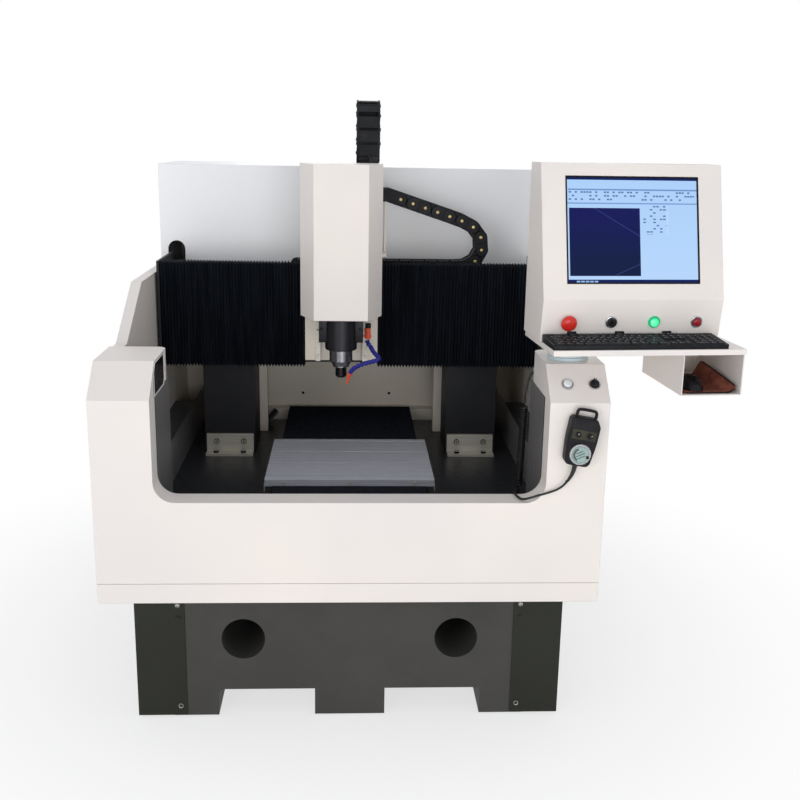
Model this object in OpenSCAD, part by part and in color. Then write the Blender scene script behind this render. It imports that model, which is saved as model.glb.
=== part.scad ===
// Metal engraving and milling machine: cast base, moving table, fixed gantry
// with an enclosed cabinet, a lifting spindle head and a swivelling console.
// Millimetres. +X right, +Y back, +Z up, origin on the floor under the middle of the cabinet.
// Every y size below runs backwards from the cabinet's front face.

/* [Base] */
// Width of cast base without its covers
base_w = 950; // [900:10:1000]
// Depth of cast base
base_d = 1300; // [1200:10:1350]
// Base's front behind the cabinet's front
base_y = 100; // [80:5:140]
// Height of bed
base_h = 500; // [480:5:560]
// Wall thickness of the casting
base_wall = 14; // [8:1:20]
// Height of fork pockets under the base
fork_h = 83; // [60:1:110]
// Width of each outer skid of the base
skid_w = 119; // [90:1:140]
// Width of middle skid of the base
mid_skid_w = 190; // [140:2:240]
// Height of foot strips under the skids
foot_h = 6; // [3:1:12]
// Distance of each lifting hole from the middle
lift_x = 286; // [250:1:300]
// Height of lifting holes
lift_z = 232; // [200:1:260]

/* [Base covers] */
// Distance of the cover's side from the base
cover_out = 97; // [60:1:120]

/* [Cabinet shell] */
// Width of cabinet
body_w = 1280; // [1260:2:1340]
// Depth of cabinet
body_d = 1500; // [1490:5:1600]
// Height of cabinet's lower edge above the floor
skirt_z = 384; // [360:1:400]
// Height of skirt band
skirt_h = 53; // [40:1:60]
// Thickness of cabinet's sheet metal
sheet_t = 3; // [2:0.5:4]
// Height of sill of the work opening
sill_z = 654; // [645:1:700]
// Depth of flange around the work opening
sill_d = 70; // [50:1:72]
// Width of each front pillar
pillar_w = 150; // [140:1:160]
// Depth of each front pillar
pillar_d = 270; // [250:5:290]
// Height where the pillar's front leans back
shoulder_z = 915; // [890:1:930]
// Height of pillar's top
pillar_top = 995; // [985:1:1010]
// How far the pillar's front leans back
pillar_lean = 88; // [60:1:100]
// Depth where the side wall's rise ends
wall_rise_y = 580; // [540:5:620]
// Height of side wall's top
wall_top = 1124; // [1100:1:1150]

/* [Hood] */
// Where the hood's front face stands
hood_y = 1083; // [1075:1:1110]
// Height of hood's top
hood_top = 1446; // [1400:2:1500]
// Height of hood front's lower edge
hood_low = 1020; // [1010:1:1040]
// Width of cable slot in the hood's front
slot_w = 51; // [30:1:60]
// Height of cable slot's top
slot_top = 1193; // [1150:1:1240]
// Width of rear service panel
door_w = 1120; // [900:10:1150]
// Height of rear service panel
door_h = 820; // [700:10:840]
// Height of rear service panel's lower edge
door_z = 520; // [500:5:560]
// Distance between louvres
louvre_pitch = 22; // [18:1:30]

/* [Pan and back wall] */
// Thickness of pan's floor plate
pan_t = 10; // [6:1:12]
// Pan's side walls from the middle
pan_x = 545; // [530:1:560]
// Height of pan's side walls above its floor
pan_rim = 130; // [100:1:132]
// Where the pan ends at the back
pan_back = 1320; // [1315:1:1340]
// Height of step behind the pan
step_h = 42; // [30:1:60]
// Where the posts stand
post_y = 1161; // [1140:1:1200]
// Radius of coolant return stub
stub_r = 11; // [8:1:14]

/* [Gantry] */
// Distance of each column from the middle
column_x = 401.5; // [390:0.5:420]
// Width of a column
column_w = 167; // [150:1:180]
// Depth of a column
column_d = 180; // [150:1:200]
// Where the columns' front faces stand
column_y = 900; // [895:1:910]
// Height of a column
column_h = 320; // [300:1:360]
// Wall of the columns and of the beam
column_wall = 14; // [8:1:20]
// Width of beam
beam_w = 1190; // [1180:2:1210]
// Depth of beam
beam_d = 200; // [180:2:205]
// Height of beam
beam_h = 282; // [260:1:300]
// Where the beam's front face stands
beam_y = 860; // [855:1:870]
// Width of a column's foot bracket
bracket_w = 155; // [120:1:165]
// Height of a column's foot bracket
bracket_h = 66; // [50:1:90]
// How far a bracket's foot reaches forward
bracket_foot = 48; // [40:1:60]
// Thickness of brackets
bracket_t = 8; // [5:1:12]

/* [Linear guides] */
// Width of guide rails
rail_w = 23; // [18:1:28]
// Height of these rails
rail_h = 20; // [16:1:22]
// Width of head's guide rails
z_rail_w = 15; // [12:1:20]
// Height of head's guide rails
z_rail_h = 15; // [12:1:16]
// Radius of table's and the gantry's ball screws
screw_r = 10; // [8:0.5:11]
// Radius of head's ball screw
z_screw_r = 8; // [6:0.5:9]
// Gantry's rails above and below its screw
x_rail_z = 92; // [80:1:110]
// Distance of the table's rails from its screw
y_rail_x = 150; // [120:1:170]
// Head's rails from the head's middle
z_rail_x = 73.5; // [70:0.5:80]
// Side of gantry's motor
x_motor_w = 60; // [40:1:66]
// Length of motors
motor_l = 90; // [60:1:100]
// Side of table's motor
y_motor_w = 40; // [34:1:42]

/* [Table] */
// Middle of the table from the machine's middle
table_x = -3; // [-10:1:10]
// Width of table
table_w = 492; // [440:2:520]
// Depth of table
table_d = 418; // [380:2:430]
// Thickness of table
table_t = 20; // [18:1:25]
// Where the table's front edge stands
table_y = 402; // [395:1:420]
// Height of table's top above the pan
table_up = 70; // [66:1:80]
// Number of T-slots
tslot_n = 4; // [2:1:4]
// First T-slot behind the table's front edge
tslot_first = 40; // [30:1:60]
// Distance between T-slots
tslot_pitch = 118; // [80:1:120]
// Width of a T-slot's mouth
tslot_w = 8; // [6:1:10]
// Depth of a T-slot
tslot_depth = 13; // [10:1:15]

/* [Folding covers] */
// Folds of each cover of the gantry
x_folds = 34; // [20:1:36]
// Depth of a fold
fold_d = 11; // [6:1:14]
// Thickness of folding covers
fold_t = 1.6; // [1:0.1:2]
// Where the gantry's folding covers' front stands
x_fold_y = 780; // [776:1:782]
// Height of gantry's folding covers
x_fold_h = 331; // [325:1:340]
// Width of table's folding covers
y_fold_w = 448; // [430:2:460]
// Folds of the table's rear cover
y_folds = 26; // [16:1:32]
// Folds of the table's front cover
y_front_folds = 18; // [12:1:22]

/* [Carriage] */
// Head's middle from the machine's middle
head_x = -31.5; // [-60:0.5:40]
// Width of carriage
carriage_w = 229; // [222:1:240]
// Thickness of carriage's plate
carriage_t = 35; // [28:1:36]
// Lower edge of the carriage above the columns
carriage_drop = 22; // [10:1:40]
// Height of carriage's plate
carriage_h = 498; // [490:2:510]

/* [Cable chains] */
// Distance between a chain's pins
link_pitch = 42; // [34:1:48]
// Height of gantry chain's links
link_h = 43; // [34:1:44]
// Width of gantry's chain
x_chain_w = 62; // [50:1:70]
// Where the middle of the gantry's chain lies
x_chain_y = 950; // [935:1:960]
// Start of the gantry chain's lower run
x_chain_x = -180; // [-220:1:-120]
// Bend radius of the gantry's chain
x_bend_r = 73; // [66:1:80]
// Where the gantry's chain starts to bend
x_bend_x = 350; // [330:1:360]
// Width of head's chain
z_chain_w = 73; // [60:1:80]
// Thickness of head chain's links
z_link_h = 30; // [24:1:34]
// Bend radius of the head's chain
z_bend_r = 60; // [50:1:64]
// Height of head chain's bend centre
z_bend_z = 1583; // [1560:1:1620]
// Head's chain to the right of the head's middle
z_chain_dx = 81; // [78:1:84]

/* [Head] */
// Spindle's axis behind the cabinet's front
spindle_y = 640; // [630:1:650]
// Radius of spindle's housing
spindle_r = 48.5; // [40:0.5:52]
// Length of spindle's housing
spindle_l = 380; // [300:5:400]
// Spindle housing's lower face above the table
spindle_up = 338; // [320:1:360]
// Radius of spindle's nose
nose_r = 35; // [30:0.5:40]
// Length of nose's straight part
nose_l = 38; // [30:1:45]
// Length of nose's taper
taper_l = 16; // [10:1:20]
// Radius of collet nut
nut_r = 17; // [14:0.5:20]
// Length of collet nut
nut_l = 28; // [22:1:32]
// Radius of collet's bore
collet_r = 3; // [1.5:0.25:5]
// Depth of collet's bore
collet_depth = 36; // [25:1:40]
// Width of spindle's clamp block
clamp_w = 133; // [126:1:136]
// Height of clamp block
clamp_h = 150; // [100:2:200]
// Thickness of head's sliding plate
z_plate_t = 20; // [16:1:22]
// Width of head's cover
cover_w = 244; // [238:1:250]
// Width of cover's flat front
cover_flat = 158; // [130:1:180]
// Depth of cover's chamfers
cover_chamfer = 100; // [60:1:120]
// Where the cover's front face stands
cover_front = 550; // [530:1:570]
// Height of head's cover
cover_h = 448; // [430:2:460]
// Head cover's lower edge above the housing's lower face
cover_up = 101; // [90:1:120]

/* [Coolant] */
// Radius of segmented hose's balls
hose_r = 7.5; // [6:0.5:9]
// Radius of valve's body
valve_r = 8; // [6:0.5:10]
// Radius of valve's knob
valve_knob_r = 9; // [7:0.5:12]

/* [Console] */
// Turn of the console on its swivel
console_turn = 4.6; // [-20:0.1:30]
// Swivel's distance from the machine's middle
swivel_x = 561; // [550:1:580]
// Swivel's distance behind the cabinet's front
swivel_y = 165; // [150:1:180]
// Radius of swivel's plinth
plinth_r = 52; // [40:1:56]
// Height of swivel's plinth
plinth_h = 48; // [40:1:60]
// Radius of swivel's pin
pin_r = 15; // [10:0.5:20]
// Width of console's box
box_w = 463; // [440:1:480]
// Left side of the box from the swivel
box_left = -102; // [-120:1:-90]
// Height of console's box
box_h = 433; // [420:1:450]
// Depth of box at its top
box_top_d = 90; // [70:1:110]
// Depth of box at the fold
box_fold_d = 179; // [170:1:190]
// Depth of box at its foot
box_foot_d = 162; // [150:1:175]
// Rear face of the box behind the swivel
box_rear = 68; // [55:1:75]
// Height of fold above the tray
fold_up = 106; // [90:1:120]
// Width of screen's window
screen_w = 342; // [300:1:360]
// Height of screen's window
screen_h = 268; // [240:1:280]
// Width of tray
tray_w = 484; // [465:1:500]
// Left side of the tray from the swivel
tray_left = -98; // [-110:1:-90]
// Reach of the tray in front of the box's foot
tray_reach = 118; // [110:1:130]
// Thickness of tray
tray_t = 14; // [10:1:18]
// Width of mouse compartment
mouse_w = 155; // [140:1:170]
// Height of mouse compartment under the tray
mouse_h = 103; // [80:1:110]
// Radius of emergency stop's mushroom
estop_r = 20; // [16:0.5:22]
// Radius of push buttons' caps
button_r = 12; // [9:0.5:14]
// Spacing of the console's controls
control_pitch = 111; // [90:1:115]

/* [Keyboard and mouse] */
// Width of keyboard
keyboard_w = 440; // [400:1:450]
// Depth of keyboard
keyboard_d = 108; // [100:1:110]
// Distance between keys
key_pitch = 19; // [17:0.5:20]

/* [Pendant] */
// Middle of the pendant from the machine's middle
pendant_x = 566; // [550:1:580]
// Height of pendant's middle
pendant_z = 824; // [800:1:840]
// Lean of the pendant
pendant_turn = 10; // [0:1:15]
// Width of pendant
pendant_w = 76; // [66:1:80]
// Length of pendant's case
pendant_l = 122; // [110:1:130]
// Depth of pendant's case
pendant_d = 36; // [28:1:40]
// Radius of pendant's hand wheel
dial_r = 27; // [22:0.5:30]
// Radius of pendant's selector knobs
selector_r = 7; // [5:0.5:9]
// Radius of pendant's cable
cable_r = 3; // [2:0.5:4]
// Outer radius of the curly part of the cable
curl_r = 11; // [8:0.5:13]

/* [Hidden] */

// Clearances and small sizes
foot_inset = 22;
lift_wall = 8;
cover_clear = 8;
cover_screw_z = 37;
cover_screw_top_z = 295;
seam = 1;
slide_gap = 0.3;
nut_gap = 0.3;
pin_gap = 0.05;
clamp_gap = 0.1;
clamp_up = 12;
shelf_t = 10;
shelf_d = 190;
tslot_head = 16;
wall_level = 75;
slot_side = 27;
control_first = 67;
key_size = 15;
selector_x = 15;
ledge_d = 50;
cover_lap = 35;
screen_top = 31;
sill_r = 52;
pillar_r = 25;
drip_t = 2;
drip_h = 35;
post_w = 34;
post_x = 314;
louvre_n = 8;
louvre_w = 260;
wall_t = 30;
cover_t = 2.5;
lift_r = 58;
keyboard_h = 12;
mouse_l = 100;
bezel_r = 15.5;

// Smoothness of round forms
$fn = 48;
// Overcut that keeps a cut clear of a face
cut = 1;
// Sides of the cable's tube
cable_sides = 10;
// Clearance where one piece seats loosely on another
seat = 0.3;

// Colours
ivory = "#ece7e2";
light_grey = "#dcdcdf";
iron = "#4a4946";
black_sheet = "#2f302b";
pan_grey = "#26272b";
bellows_black = "#15161d";
steel = "#b9b7b0";
beige_metal = "#c9c3b6";
table_silver = "#b4b6bd";
plastic_black = "#1d1e20";
orange = "#e8722f";
blue = "#2c35b0";

// Heights that follow from each other
shell_z = skirt_z + skirt_h;
pan_z = base_h + pan_t;
beam_z = pan_z + column_h;
beam_top = beam_z + beam_h;
table_top = pan_z + table_up;
table_z = table_top - table_t;
spindle_z = table_top + spindle_up;
cover_z = spindle_z + cover_up;
cover_top = cover_z + cover_h;
carriage_z = beam_z + carriage_drop;
carriage_top = carriage_z + carriage_h;
tray_z = pillar_top + plinth_h;
tray_top = tray_z + tray_t;
wall_step_z = pillar_top - 8;

// Widths and depths that follow from each other
half_w = body_w / 2;
half_base = base_w / 2;
pillar_x = half_w - pillar_w;
inner_x = half_w - wall_t;
beam_back = beam_y + beam_d;
ledge_y = pan_back + ledge_d;

// Stack between the gantry's beam and the head, from back to front
block_top = 20;
block_gap = 6;
carriage_rear = beam_y - rail_h - block_top;
carriage_front = carriage_rear - carriage_t;
z_block_top = 12;
z_block_gap = 4;
z_plate_rear = carriage_front - z_rail_h - z_block_top;
z_plate_front = z_plate_rear - z_plate_t;
z_screw_y = (z_plate_rear + carriage_front) / 2;
x_screw_y = (carriage_rear + beam_y) / 2;
x_screw_z = beam_z + beam_h / 2;

// Stack between the pan and the table
y_screw_z = pan_z + rail_h;
saddle_t = 12;
saddle_z = table_z - saddle_t;
y_fold_h = 53;

// Everything is drawn with y from the cabinet's front face
module placed() translate([0, -body_d / 2, 0]) children();

// Box between two corners
module span(a, b) translate(a) cube(b - a);

// Copies on the right and the left side
module both_sides() {
  children();
  mirror([1, 0, 0]) children();
}

// Flat rectangle with round corners, centred
module rounded(w, h, r) {
  square([w - 2 * r, h], center = true);
  square([w, h - 2 * r], center = true);
  for (sx = [-1, 1], sy = [-1, 1])
    translate([sx * (w / 2 - r), sy * (h / 2 - r)]) circle(r);
}

// Turns a flat outline of (y, z) into a plate of width w along x, from x = 0
module along_x(w) rotate([90, 0, 90]) linear_extrude(w) children();

// Turns a flat outline of (x, z) into a plate of depth d towards +y
module along_y(d) translate([0, d, 0]) rotate([90, 0, 0]) linear_extrude(d) children();

/* Base and covers */

// One skid's outline from its middle to its walls, as x limits
skids = [
  [-half_base, -half_base + skid_w],
  [-mid_skid_w / 2, mid_skid_w / 2],
  [half_base - skid_w, half_base]
];
// Number of cells between the ribs
base_cells = 3;
cell_d = (base_d - base_wall) / base_cells;

module base_frame() color(iron) placed() {
  difference() {
    union() {
      difference() {
        span([-half_base, base_y, foot_h], [half_base, base_y + base_d, base_h]);
        base_cavities();
      }
      both_sides() translate([lift_x, base_y, lift_z]) rotate([-90, 0, 0])
        cylinder(r = lift_r + lift_wall, h = base_d);
    }
    fork_pockets();
    both_sides() translate([lift_x, base_y - cut, lift_z]) rotate([-90, 0, 0])
      cylinder(r = lift_r, h = base_d + 2 * cut);
  }
  for (s = skids)
    span([s[0] + foot_inset, base_y + foot_inset, 0],
         [s[1] - foot_inset, base_y + base_d - foot_inset, foot_h]);
}

// Hollow cells of the casting, down into the skids
module base_cavities() {
  for (i = [0 : base_cells - 1]) {
    y0 = base_y + base_wall + i * cell_d;
    y1 = y0 + cell_d - base_wall;
    span([-half_base + base_wall, y0, fork_h + base_wall],
         [half_base - base_wall, y1, base_h - base_wall]);
    for (s = skids)
      span([s[0] + base_wall, y0, foot_h + base_wall],
           [s[1] - base_wall, y1, fork_h + 2 * base_wall]);
  }
}

module fork_pockets() {
  for (i = [0, 1])
    span([skids[i][1], base_y - cut, foot_h - cut],
         [skids[i + 1][0], base_y + base_d + cut, fork_h]);
}

// Sheet covers beside the base, with their screws
cover_screw_r = 6;
cover_screw_t = 3;
module base_covers() color(black_sheet) placed() both_sides() {
  x0 = half_base - cover_lap;
  x1 = half_base + cover_out;
  difference() {
    span([x0, base_y - cover_t, cover_clear], [x1, base_y + base_d + cover_t, skirt_z]);
    span([x0 - cut, base_y, cover_clear - cut],
         [x1 - cover_t, base_y + base_d, skirt_z + cut]);
  }
  for (z = [cover_screw_z, cover_screw_top_z])
    translate([(x0 + half_base) / 2, base_y - cover_t, z]) rotate([90, 0, 0])
      cylinder(r = cover_screw_r, h = cover_screw_t);
}

/* Cabinet */

// Height of the lips inside the shell
lip_h = 20;
module skirt() color(ivory) placed() {
  difference() {
    span([-half_w, 0, skirt_z], [half_w, body_d, shell_z - seam]);
    span([-half_w + sheet_t, sheet_t, skirt_z + sheet_t],
         [half_w - sheet_t, body_d - sheet_t, shell_z + cut]);
    span([-half_base, base_y, skirt_z - cut],
         [half_base, base_y + base_d, skirt_z + 2 * sheet_t]);
  }
  skirt_lips();
}

// Upright lips inside the shell's sheets
module skirt_lips() {
  gap = 8;
  low = skirt_z + sheet_t;
  high = shell_z + lip_h;
  span([-pillar_x + gap, sheet_t, low], [pillar_x - gap, 2 * sheet_t, high]);
  span([-half_w + wall_t, body_d - 2 * sheet_t, low],
       [half_w - wall_t, body_d - sheet_t, high]);
  both_sides() {
    span([pillar_x + gap, sheet_t, low], [half_w - gap, 2 * sheet_t, high]);
    span([half_w - 2 * sheet_t, pillar_d + gap, low],
         [half_w - sheet_t, hood_y - gap, high]);
  }
}

// Outline of the work opening in (x, z), grown by g
module opening_outline(g) {
  top = shoulder_z + cut;
  r = sill_r + g;
  translate([-pillar_x - g, sill_z - g + r]) square([2 * (pillar_x + g), top - sill_z + g - r]);
  translate([-pillar_x - g + r, sill_z - g]) square([2 * (pillar_x + g - r), 2 * r]);
  for (s = [-1, 1]) translate([s * (pillar_x + g - r), sill_z - g + r]) circle(r);
}

// Body of a right-hand pillar, shrunk by i
module pillar_form(i) {
  r = pillar_r - i;
  intersection() {
    translate([0, 0, shell_z - (i > 0 ? cut : 0)]) linear_extrude(pillar_top - shell_z) {
      translate([pillar_x + i, i]) square([pillar_w - 2 * i, pillar_d - 2 * i - r]);
      translate([pillar_x + i + r, i]) square([pillar_w - 2 * i - r, pillar_d - 2 * i]);
      translate([pillar_x + i + r, pillar_d - i - r]) circle(r);
    }
    translate([pillar_x - cut, 0, 0]) along_x(pillar_w + 2 * cut) polygon([
      [i, shell_z - cut], [i, shoulder_z - i / 2], [pillar_lean + i / 2, pillar_top - i],
      [pillar_d, pillar_top - i], [pillar_d, shell_z - cut]
    ]);
  }
}

// Hole in the left pillar's head, for the work light
lamp_y = [75, 205];
lamp_drop = [10, 70];
module front_shell() color(ivory) placed() {
  difference() {
    union() {
      difference() {
        span([-half_w + sheet_t, 0, shell_z], [half_w - sheet_t, sheet_t, shoulder_z]);
        translate([0, -cut, 0]) along_y(sheet_t + 2 * cut) opening_outline(0);
      }
      both_sides() difference() {
        pillar_form(0);
        pillar_form(sheet_t);
      }
      sill_flange();
    }
    translate([-pillar_x - sheet_t - cut, 0, 0]) along_x(sheet_t + 2 * cut) lamp_window();
    control_holes();
  }
}

// Window in (y, z) that follows the pillar's lean
module lamp_window() {
  y0 = lamp_y[0];
  y1 = lamp_y[1];
  high = pillar_top - lamp_drop[0];
  low = pillar_top - lamp_drop[1];
  front_top = min(high, pillar_slope_z(y0) - lamp_drop[0]);
  polygon([[y0, low], [y0, front_top], [pillar_lean, high], [y1, high], [y1, low]]);
}

// Height of pillar's sloping face at a given y
function pillar_slope_z(y) = shoulder_z + (pillar_top - shoulder_z) * y / pillar_lean;

// Flange around the opening: sill, round corners and returns
module sill_flange() difference() {
  intersection() {
    along_y(sill_d) opening_outline(sheet_t);
    span([-half_w, 0, shell_z], [half_w, sill_d, shoulder_z - sheet_t]);
  }
  translate([0, -cut, 0]) along_y(sill_d + 2 * cut) opening_outline(0);
}

// Outline of a side wall in (y, z), shrunk by i
function wall_outline(i) = [
  [pillar_d + i, shell_z - (i > 0 ? cut : 0)],
  [pillar_d + i, wall_step_z - i],
  [pillar_d + wall_level + i / 2, wall_step_z - i],
  [wall_rise_y + i / 2, wall_top - i],
  [hood_y - i, wall_top - i],
  [hood_y - i, shell_z - (i > 0 ? cut : 0)]
];

module side_wall() difference() {
  translate([inner_x, 0, 0]) along_x(wall_t) polygon(wall_outline(0));
  translate([inner_x + sheet_t, 0, 0]) along_x(wall_t - 2 * sheet_t) polygon(wall_outline(sheet_t));
}

module side_wall_r() color(ivory) placed() side_wall();
module side_wall_l() color(ivory) placed() mirror([1, 0, 0]) side_wall();

// Rear part of the cabinet, open below
module hood() color(light_grey) placed() difference() {
  span([-half_w, hood_y, shell_z], [half_w, body_d, hood_top]);
  span([-half_w + sheet_t, hood_y + sheet_t, shell_z - cut],
       [half_w - sheet_t, body_d - sheet_t, hood_top - sheet_t]);
  span([-half_w + sheet_t, hood_y - cut, shell_z - cut],
       [half_w - sheet_t, hood_y + 2 * sheet_t, hood_low]);
  cable_slot();
  rear_opening();
}

// Round-topped slot for cables in the hood's front
module cable_slot() {
  r = slot_w / 2;
  x = -half_w + slot_side + r;
  translate([x, hood_y - cut, 0]) along_y(sheet_t + 2 * cut) {
    translate([0, slot_top - r]) circle(r);
    translate([-r, hood_low - cut]) square([slot_w, slot_top - r - hood_low + cut]);
  }
}

// Opening behind the service panel
door_lap = 20;
module rear_opening() {
  span([-door_w / 2 + door_lap, body_d - 2 * sheet_t, door_z + door_lap],
       [door_w / 2 - door_lap, body_d + cut, door_z + door_h - door_lap]);
}

// Screwed service panel with two banks of louvres
louvre_h = 7;
louvre_rise = 8;
louvre_bank_x = 300;
louvre_low = 90;
module rear_panel() color(light_grey) placed() {
  difference() {
    span([-door_w / 2, body_d, door_z], [door_w / 2, body_d + sheet_t, door_z + door_h]);
    for (s = [-1, 1], i = [0 : louvre_n - 1])
      translate([s * louvre_bank_x - louvre_w / 2, body_d - cut, louvre_z(i)])
        cube([louvre_w, sheet_t + 2 * cut, louvre_h]);
  }
  for (s = [-1, 1], i = [0 : louvre_n - 1]) translate([s * louvre_bank_x, 0, louvre_z(i)]) louvre();
}

function louvre_z(i) = door_z + louvre_low + i * louvre_pitch;

// One pressed louvre: a sloping hood over its slot
module louvre() translate([-louvre_w / 2, body_d + sheet_t, 0]) along_x(louvre_w) polygon([
  [-sheet_t / 2, louvre_h + sheet_t], [louvre_rise, 0], [louvre_rise - sheet_t, 0],
  [-sheet_t / 2, louvre_h]
]);

// Wet area: floor, rims, liners beside the pillars and the return stub
liner_t = 2;
stub_x = -298;
stub_y = 1240;
stub_l = 46;
module pan() color(pan_grey) placed() {
  pan_floor();
  span([-pillar_x + liner_t, sill_d, pan_z],
       [pillar_x - liner_t, sill_d + liner_t, sill_z - sheet_t]);
  both_sides() {
    span([pillar_x - liner_t, sill_d, pan_z], [pillar_x, pillar_d, shoulder_z - sheet_t]);
    span([pillar_x - liner_t, pillar_d, pan_z], [pan_x, pillar_d + liner_t, pan_z + pan_rim]);
    span([pan_x - liner_t, pillar_d, pan_z], [pan_x, pan_back, pan_z + pan_rim]);
    span([pan_x - liner_t, pillar_d, pan_z + pan_rim - liner_t],
         [inner_x, hood_y, pan_z + pan_rim]);
  }
  translate([stub_x, stub_y, pan_z]) {
    cylinder(r = stub_r, h = 2 * stub_r);
    translate([0, 0, 2 * stub_r]) {
      sphere(r = stub_r);
      rotate([-60, 0, -35]) cylinder(r = stub_r, h = stub_l);
    }
  }
}

module pan_floor() {
  span([-pillar_x, sill_d, base_h], [pillar_x, pillar_d + cut, pan_z]);
  span([-pan_x, pillar_d, base_h], [pan_x, pan_back, pan_z]);
}

// Rear of the work area: step, ledge, wall, ceiling, side skins and posts
module back_wall() color(beige_metal) placed() {
  step_z = pan_z + step_h;
  w = half_w - sheet_t;
  span([-inner_x, pan_back, base_h], [inner_x, pan_back + sheet_t, step_z]);
  span([-inner_x, pan_back, step_z - sheet_t], [inner_x, ledge_y, step_z]);
  span([-inner_x, ledge_y, step_z - sheet_t], [inner_x, ledge_y + sheet_t, hood_low]);
  span([-w, hood_y + sheet_t, hood_low], [w, ledge_y + sheet_t, hood_low + sheet_t]);
  both_sides() {
    span([inner_x, hood_y + sheet_t, shell_z], [inner_x + sheet_t, ledge_y + sheet_t, hood_low]);
    span([post_x - post_w / 2, post_y, pan_z], [post_x + post_w / 2, post_y + post_w, hood_low]);
  }
}

/* Gantry */

module columns() color(bellows_black) placed() both_sides() difference() {
  x0 = column_x - column_w / 2;
  span([x0, column_y, pan_z], [x0 + column_w, column_y + column_d, beam_z]);
  span([x0 + column_wall, column_y + column_wall, pan_z - cut],
       [x0 + column_w - column_wall, column_y + column_d - column_wall, beam_z + cut]);
}

// Angle brackets at the columns' feet, with bolts
bolt_r = 7;
bolt_h = 5;
bolt_x = 45;
bolt_up = 41;
module column_brackets() color(steel) placed() both_sides() translate([column_x, column_y, pan_z]) {
  translate([-bracket_w / 2, -bracket_t, 0]) cube([bracket_w, bracket_t, bracket_h]);
  translate([-bracket_w / 2, -bracket_foot, 0]) cube([bracket_w, bracket_foot, bracket_t]);
  for (x = [-bolt_x, bolt_x]) {
    translate([x, -bracket_t, bolt_up]) rotate([90, 0, 0]) bolt();
    translate([x, -(bracket_foot + bracket_t) / 2, bracket_t]) bolt();
  }
}

// Socket-head bolt
module bolt() difference() {
  cylinder(r = bolt_r, h = bolt_h);
  translate([0, 0, bolt_h / 2]) cylinder(r = bolt_r / 2, h = bolt_h, $fn = 6);
}

// Hollow beam with its end plates
end_plate_t = 8;
module beam() color(bellows_black) placed() {
  difference() {
    span([-beam_w / 2, beam_y, beam_z], [beam_w / 2, beam_back, beam_top]);
    span([-beam_w / 2 - cut, beam_y + column_wall, beam_z + column_wall],
         [beam_w / 2 + cut, beam_back - column_wall, beam_top - column_wall]);
    x_motor_window();
  }
  both_sides() span([beam_w / 2, x_fold_y, beam_z], [beam_w / 2 + end_plate_t, beam_back, x_fold_top]);
}

// Top of the gantry's folding covers
x_fold_top = beam_z + x_fold_h;

// Place of the gantry's motor and supports
support_t = 20;
x_screw_start = -beam_w / 2 + 30;
x_motor_x = beam_w / 2 - motor_l - 20;
x_screw_end = x_motor_x;
motor_gap = 5;
module x_motor_window() {
  r = x_motor_w / 2 + motor_gap;
  span([x_motor_x - motor_gap, beam_y - cut, x_screw_z - r],
       [x_motor_x + motor_l + motor_gap, beam_y + column_wall + cut, x_screw_z + r]);
}

// Place of the table's motor and supports
y_screw_start = sill_d + 15;
y_motor_y = pan_back - motor_l - 20;
rail_end_gap = 10;
module rails() color(steel) placed() {
  for (s = [-1, 1]) {
    z = x_screw_z + s * x_rail_z - rail_w / 2;
    x = table_x + s * y_rail_x - rail_w / 2;
    span([-beam_w / 2 + rail_end_gap, beam_y - rail_h, z],
         [beam_w / 2 - rail_end_gap, beam_y, z + rail_w]);
    span([x, y_screw_start, pan_z], [x + rail_w, pan_back - rail_end_gap, pan_z + rail_h]);
  }
}

// Motors of the table and the gantry, with their screws' supports
module axis_motors() color(plastic_black) placed() {
  for (x = [x_screw_start, x_screw_end - support_t])
    translate([x, x_screw_y, x_screw_z]) rotate([0, 90, 0])
      screw_support(2 * x_screw_y_reach, 2 * x_screw_y_reach, screw_r);
  translate([x_motor_x, x_screw_y - x_motor_w / 2, x_screw_z - x_motor_w / 2])
    cube([motor_l, x_motor_w, x_motor_w]);
  for (y = [y_screw_start, y_motor_y - support_t])
    translate([table_x, y, y_screw_z]) rotate([-90, 0, 0])
      screw_support(3 * y_motor_w, 2 * rail_h, screw_r);
  translate([table_x - y_motor_w / 2, y_motor_y, y_screw_z - y_motor_w / 2])
    cube([y_motor_w, motor_l, y_motor_w]);
}
x_screw_y_reach = beam_y - x_screw_y;

// Bearing block of a screw, w by h, bored along z
module screw_support(w, h, r) difference() {
  translate([-w / 2, -h / 2, 0]) cube([w, h, support_t]);
  translate([0, 0, -cut]) cylinder(r = r + pin_gap, h = support_t + 2 * cut);
}

module x_screw() color(steel) placed()
  translate([x_screw_start, x_screw_y, x_screw_z]) rotate([0, 90, 0])
    cylinder(r = screw_r, h = x_screw_end - x_screw_start);

module y_screw() color(steel) placed()
  translate([table_x, y_screw_start, y_screw_z]) rotate([-90, 0, 0])
    cylinder(r = screw_r, h = y_motor_y - y_screw_start);

/* Folding covers */

// Ring of a folding cover: a channel open below, i inside its outer size
function channel(w, h, i) = [
  [-w / 2 + i, 0], [-w / 2 + i, h - i], [w / 2 - i, h - i], [w / 2 - i, 0],
  [w / 2 - i - fold_t, 0], [w / 2 - i - fold_t, h - i - fold_t],
  [-w / 2 + i + fold_t, h - i - fold_t], [-w / 2 + i + fold_t, 0]
];

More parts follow.
